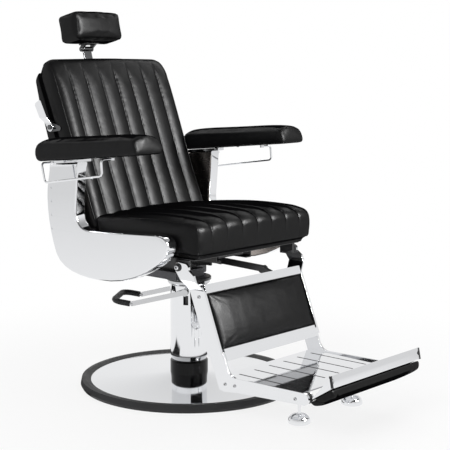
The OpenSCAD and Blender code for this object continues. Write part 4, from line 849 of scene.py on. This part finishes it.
class CHAIR_OT_side_bodies(bpy.types.Operator):
    """Makes the bright side bodies with the grooves pressed into their posts, and the towel wires"""

    bl_idname = "chair.side_bodies"
    bl_label = "Side bodies and towel wires"

    def execute(self, context):
        settings = context.scene.chair_fittings
        for side, mark in SIDES:
            node = "side_body_" + mark
            piece = welded_copy(node, "side_panel_" + mark)
            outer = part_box(node)[1 if side > 0 else 0].x
            cutters = [self.groove(outer, front, (GROOVE_TOP - GROOVE_STEP * i) * MM, settings)
                       for i, front in enumerate(GROOVE_FRONTS)]
            cut_out(piece, join(cutters, "groove_cutter"))
            smooth(piece, 40)
            modify(piece, "WEIGHTED_NORMAL", keep_sharp=True)
            finish_piece(piece, "seat", finish("chrome plate"), "chrome", node)
            # The inner face is satin, not buffed to a mirror, and its darker warm tone is a painted reflection of
            # the dark surroundings under the seat
            paint(piece, "satin nickel with painted reflection", lambda n, p: n.x * side < -0.5)
            self.sleeve("towel_rail_" + mark, "towel_wire_" + mark, "seat", "chrome plate", "chrome")
        self.sleeve("lever_grip", "lever_grip_sleeve", "lever", "moulded rubber", "rubber_black")
        return {"FINISHED"}

    def groove(self, outer, front, z, settings):
        """A round-ended bar that cuts one groove, from front to GROOVE_END at the height z."""
        radius = settings.flute_height / 2
        bpy.ops.mesh.primitive_cylinder_add(vertices=24, radius=radius, depth=2 * settings.flute_depth,
                                            location=(outer, front, z), rotation=(0, math.pi / 2, 0))
        bar = bpy.context.object
        apply_place(bar)
        places = points(bar)
        places[:, 1] += np.where(places[:, 1] > front + 1e-6, GROOVE_END - front, 0)
        move_points(bar, places)
        return bar

    def sleeve(self, node, name, body, material, slot):
        """A bent round bar or its sleeve, with smooth shading."""
        piece = welded_copy(node, name)
        smooth(piece, 50)
        finish_piece(piece, body, finish(material), slot, node)


# ---------------------------------------------------------------- screws and small trim
# Places of the screw heads on the legrest's bars and on its foot rails, as y and z
BAR_SCREWS = ((-0.2496, 0.3758), (-0.2603, 0.3514))
RAIL_SCREWS = ((-0.3558, 0.1054), (-0.3926, 0.1069), (-0.6150, 0.1120))
# Places of the screw heads along the arms and up the back
ARM_SCREWS = (-60 * MM, 70 * MM, 170 * MM)
BACK_SCREWS = (40 * MM, 100 * MM, 165 * MM)
# Half the distances between the screw heads of the two sides
BARS_OUT, HINGES_OUT, ARMS_OUT, BACK_OUT = 230 * MM, 260 * MM, 318 * MM, 268 * MM
ARM_SLOPE = 0.102


def screw_head(place, outward, radius):
    """A pan head with its hexagonal recess, standing at place and pointing outward."""
    bpy.ops.mesh.primitive_cylinder_add(vertices=32, radius=radius, depth=radius * 0.7,
                                        location=(0, 0, radius * 0.3))
    head = bpy.context.object
    apply_place(head)
    modify(head, "BEVEL", width=radius * 0.28, segments=3)
    bpy.ops.mesh.primitive_cylinder_add(vertices=6, radius=radius * 0.45, depth=radius * 0.6,
                                        location=(0, 0, radius * 0.7))
    cut_out(head, bpy.context.object)
    smooth(head, 35)
    wear(head, finish("polished steel"))
    # The hexagonal recess gets painted shade
    paint(head, "black enamel and painted shade", lambda n, p: p.xy.length < radius * 0.46 and p.z < radius * 0.64)
    turn = Vector(outward).to_track_quat("Z", "Y").to_matrix().to_4x4()
    head.data.transform(Matrix.Translation(place) @ turn)
    return head


class CHAIR_OT_fasteners(bpy.types.Operator):
    """Puts on the screws of the legrest, arms, back and hinges, and the trims of the footplate's lip"""

    bl_idname = "chair.fasteners"
    bl_label = "Screws and trims"

    def execute(self, context):
        radius = context.scene.chair_fittings.screw_radius
        rails_out, lip_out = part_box("foot_rail_l")[1].x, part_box("flap_tray")[1].x
        arm_low, arm_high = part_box("arm_board_l")
        legrest, seat, back, trims = [], [], [], []
        for side, _ in SIDES:
            legrest += [screw_head(Vector((side * BARS_OUT, y, z)), (side, 0, 0), radius)
                        for y, z in BAR_SCREWS]
            legrest += [screw_head(Vector((side * rails_out, y, z)), (side, 0, 0), radius * 0.9)
                        for y, z in RAIL_SCREWS]
            hinge = PIVOTS["legrest_swing"] + Vector((side * HINGES_OUT, 0, 0))
            seat.append(screw_head(hinge, (side, 0, 0), radius * 1.5))
            for y in ARM_SCREWS:
                z = arm_low.z + (arm_high.y - y) * ARM_SLOPE - 0.2 * MM
                seat.append(screw_head(Vector((side * ARMS_OUT, y, z)), (0, 0, -1), radius * 0.9))
            back += [screw_head(on_back(side * BACK_OUT, along, BACK_THICK + 26 * MM), (side, 0, 0), radius)
                     for along in BACK_SCREWS]
            x = side * (lip_out - 4 * MM)
            ends = [Vector((x, -735.5 * MM, 163 * MM)), Vector((x, -729 * MM, 195.5 * MM))]
            trims.append(tube("trim", even_line(ends, 8 * MM), 4.4 * MM))
        for body, heads in (("legrest", legrest), ("seat", seat), ("back", back)):
            finish_piece(join(heads, body + "_screws"), body, None, "chrome")
        finish_piece(join(trims, "lip_trims"), "flap", finish("moulded rubber"), "rubber_black")
        return {"FINISHED"}


# ---------------------------------------------------------------- stage
class CHAIR_OT_stage(bpy.types.Operator):
    """Sets up the white floor, the room, the softboxes and the camera"""

    bl_idname = "chair.stage"
    bl_label = "Stage"

    def execute(self, context):
        settings = context.scene.chair_stage
        self.floor()
        self.room(context.scene, settings.room)
        self.softbox("key_softbox", (0.8, -3.0, 2.2), (1.2, 1.6), settings.key_power, lights=False)
        self.softbox("fill_softbox", (-2.8, -0.8, 2.4), (1.4, 1.8), settings.fill_power, mirrored=False)
        self.softbox("rim_strip", (0.9, 2.2, 2.6), (2.4, 0.8), settings.rim_power)
        self.softbox("top_strip", (2.3, 0.5, 2.5), (1.6, 0.6), settings.top_power)
        self.camera(context.scene, settings)
        context.scene.view_settings.view_transform = "Standard"
        return {"FINISHED"}

    def floor(self):
        """A matt white floor that fades into the white room and keeps the chair's shadow."""
        bpy.ops.mesh.primitive_plane_add(size=24, location=(0, 0, 0))
        floor = bpy.context.object
        floor.name = "studio_floor"
        name = "matt white floor"
        tree, shader, place = new_material(name, Roughness=0.9, Base_Color=linear("#F4F4F4"))
        away = add_node(tree, "ShaderNodeVectorMath", {}, {0: place}, operation="LENGTH").outputs["Value"]
        # The painted floor gives way to plain white between 0.5 m and 1.5 m from the chair
        fade = mapped(tree, away, 0.5, 1.5, 0.8, 1.0, interpolation_type="SMOOTHSTEP")
        # Far off, the floor that the metal mirrors is greyer
        distant = mapped(tree, away, 1.8, 6.0, 1.0, 0.8)
        # The metal mirrors a painted black patch behind the base
        grey = combined(tree, "MULTIPLY", self.cloth(tree, place), distant)
        glossy = add_node(tree, "ShaderNodeLightPath").outputs["Is Glossy Ray"]
        mirrored = add_node(tree, "ShaderNodeMix", {"A": 1.0}, {"Factor": glossy, "B": grey})
        amount = combined(tree, "MULTIPLY", combined(tree, "MAXIMUM", fade, glossy), self.seen_rays(tree))
        white = add_node(tree, "ShaderNodeEmission", {"Color": WHITE},
                         {"Strength": mirrored.outputs["Result"]})
        mix = add_node(tree, "ShaderNodeMixShader", {}, {0: amount, 1: shader.outputs["BSDF"],
                                                         2: white.outputs["Emission"]})
        tree.links.new(mix.outputs["Shader"], tree.nodes["Material Output"].inputs["Surface"])
        wear(floor, finish(name))

    def cloth(self, tree, place):
        """How bright the floor looks to the metal, with a black patch behind the base that only reflections see: a
        painted dark reflection for the chrome.
        """
        middle, half_width, half_depth = 0.28, 0.55, 0.17
        moved = add_node(tree, "ShaderNodeVectorMath", {1: (0.0, -middle, 0.0)}, {0: place},
                         operation="ADD")
        halved = add_node(tree, "ShaderNodeVectorMath", {1: (1 / half_width, 1 / half_depth, 0.0)},
                          {0: moved.outputs["Vector"]}, operation="MULTIPLY")
        folded = add_node(tree, "ShaderNodeVectorMath", {}, {0: halved.outputs["Vector"]},
                          operation="ABSOLUTE")
        sides = add_node(tree, "ShaderNodeSeparateXYZ", {}, {"Vector": folded.outputs["Vector"]})
        edge = combined(tree, "MAXIMUM", sides.outputs["X"], sides.outputs["Y"])
        return mapped(tree, edge, 0.92, 1.08, 0.02, 1.0)

    def seen_rays(self, tree):
        """1 for what the camera sees, directly or in a reflection or through glass."""
        rays = add_node(tree, "ShaderNodeLightPath").outputs
        seen = combined(tree, "MAXIMUM", rays["Is Camera Ray"], rays["Is Glossy Ray"])
        return combined(tree, "MAXIMUM", seen, rays["Is Transmission Ray"])

    def room(self, scene, strength):
        """A white room. What the metal mirrors of it is darker overhead, and a little on one side."""
        world = bpy.data.worlds.new("white room")
        scene.world = world
        world.use_nodes = True
        tree = world.node_tree
        tree.nodes.clear()
        direction = add_node(tree, "ShaderNodeTexCoord").outputs["Generated"]
        height = add_node(tree, "ShaderNodeSeparateXYZ", {}, {"Vector": direction}).outputs["Z"]
        overhead = mapped(tree, height, 0.25, 0.9, 1.0, 0.25)
        sweep = add_node(tree, "ShaderNodeVectorMath", {1: (-0.45, 0.89, 0.0)}, {0: direction},
                         operation="DOT_PRODUCT").outputs["Value"]
        aside = mapped(tree, sweep, -0.9, 0.6, 0.93, 0.95, interpolation_type="SMOOTHSTEP")
        camera = add_node(tree, "ShaderNodeLightPath").outputs["Is Camera Ray"]
        look = add_node(tree, "ShaderNodeMix", {"B": 1.0}, {
            "Factor": camera, "A": combined(tree, "MULTIPLY", overhead, aside)})
        seen = add_node(tree, "ShaderNodeBackground", {"Color": WHITE},
                        {"Strength": look.outputs["Result"]})
        light = add_node(tree, "ShaderNodeBackground", {"Color": WHITE, "Strength": strength})
        mix = add_node(tree, "ShaderNodeMixShader", {}, {
            0: self.seen_rays(tree), 1: light.outputs["Background"], 2: seen.outputs["Background"]})
        out = add_node(tree, "ShaderNodeOutputWorld")
        tree.links.new(mix.outputs["Shader"], out.inputs["Surface"])

    def softbox(self, name, place, size, power, mirrored=True, lights=True):
        """A lamp that points at the chair. It makes highlights if mirrored, and shade if it lights."""
        lamp = bpy.data.lights.new(name, "AREA")
        lamp.shape = "RECTANGLE"
        lamp.size, lamp.size_y = size
        lamp.energy = power
        box = bpy.data.objects.new(name, lamp)
        bpy.context.scene.collection.objects.link(box)
        box.location = place
        box.rotation_euler = (Vector((0, -0.1, 0.55)) - Vector(place)).to_track_quat("-Z", "Y").to_euler()
        box.visible_glossy = mirrored
        box.visible_diffuse = lights

    def camera(self, scene, settings):
        """A long lens, low and to the sitter's right of the front."""
        a, e = settings.azimuth, settings.elevation
        back = Vector((math.sin(a) * math.cos(e), -math.cos(a) * math.cos(e), math.sin(e)))
        lens = bpy.data.cameras.new("camera")
        lens.lens = settings.lens
        lens.sensor_width = 36
        camera = bpy.data.objects.new("camera", lens)
        scene.collection.objects.link(camera)
        camera.location = (-2.702, -2.583, 1.040)
        camera.rotation_euler = (-back).to_track_quat("-Z", "Y").to_euler()
        scene.camera = camera


# ---------------------------------------------------------------- panel and registration
STEPS = ("stage", "finishes", "plates", "side_bodies", "seat_cushion", "back_cushion", "small_pads",
         "fasteners")


class CHAIR_PT_panel(bpy.types.Panel):
    """Lists the chair's settings and steps"""

    bl_idname = "CHAIR_PT_panel"
    bl_label = "Barber Chair"
    bl_space_type = "VIEW_3D"
    bl_region_type = "UI"
    bl_category = "Barber Chair"

    def draw(self, context):
        for name in GROUPS:
            group = getattr(context.scene, name)
            box = self.layout.box()
            for key in group.bl_rna.properties.keys():
                if key not in ("rna_type", "name"):
                    box.prop(group, key)
        for step in STEPS:
            self.layout.operator("chair." + step)


GROUPS = {"chair_upholstery": UpholsterySettings, "chair_fittings": FittingSettings,
          "chair_finishes": FinishSettings, "chair_stage": StageSettings}
CLASSES = (*GROUPS.values(), CHAIR_OT_stage, CHAIR_OT_finishes, CHAIR_OT_plates, CHAIR_OT_side_bodies,
           CHAIR_OT_seat_cushion, CHAIR_OT_back_cushion, CHAIR_OT_small_pads, CHAIR_OT_fasteners,
           CHAIR_PT_panel)


def register():
    for cls in CLASSES:
        bpy.utils.register_class(cls)
    for name, group in GROUPS.items():
        setattr(bpy.types.Scene, name, PointerProperty(type=group))


def unregister():
    for name in GROUPS:
        delattr(bpy.types.Scene, name)
    for cls in reversed(CLASSES):
        bpy.utils.unregister_class(cls)


def main():
    register()
    for step in STEPS:
        getattr(bpy.ops.chair, step)()


if __name__ == "__main__":
    main()
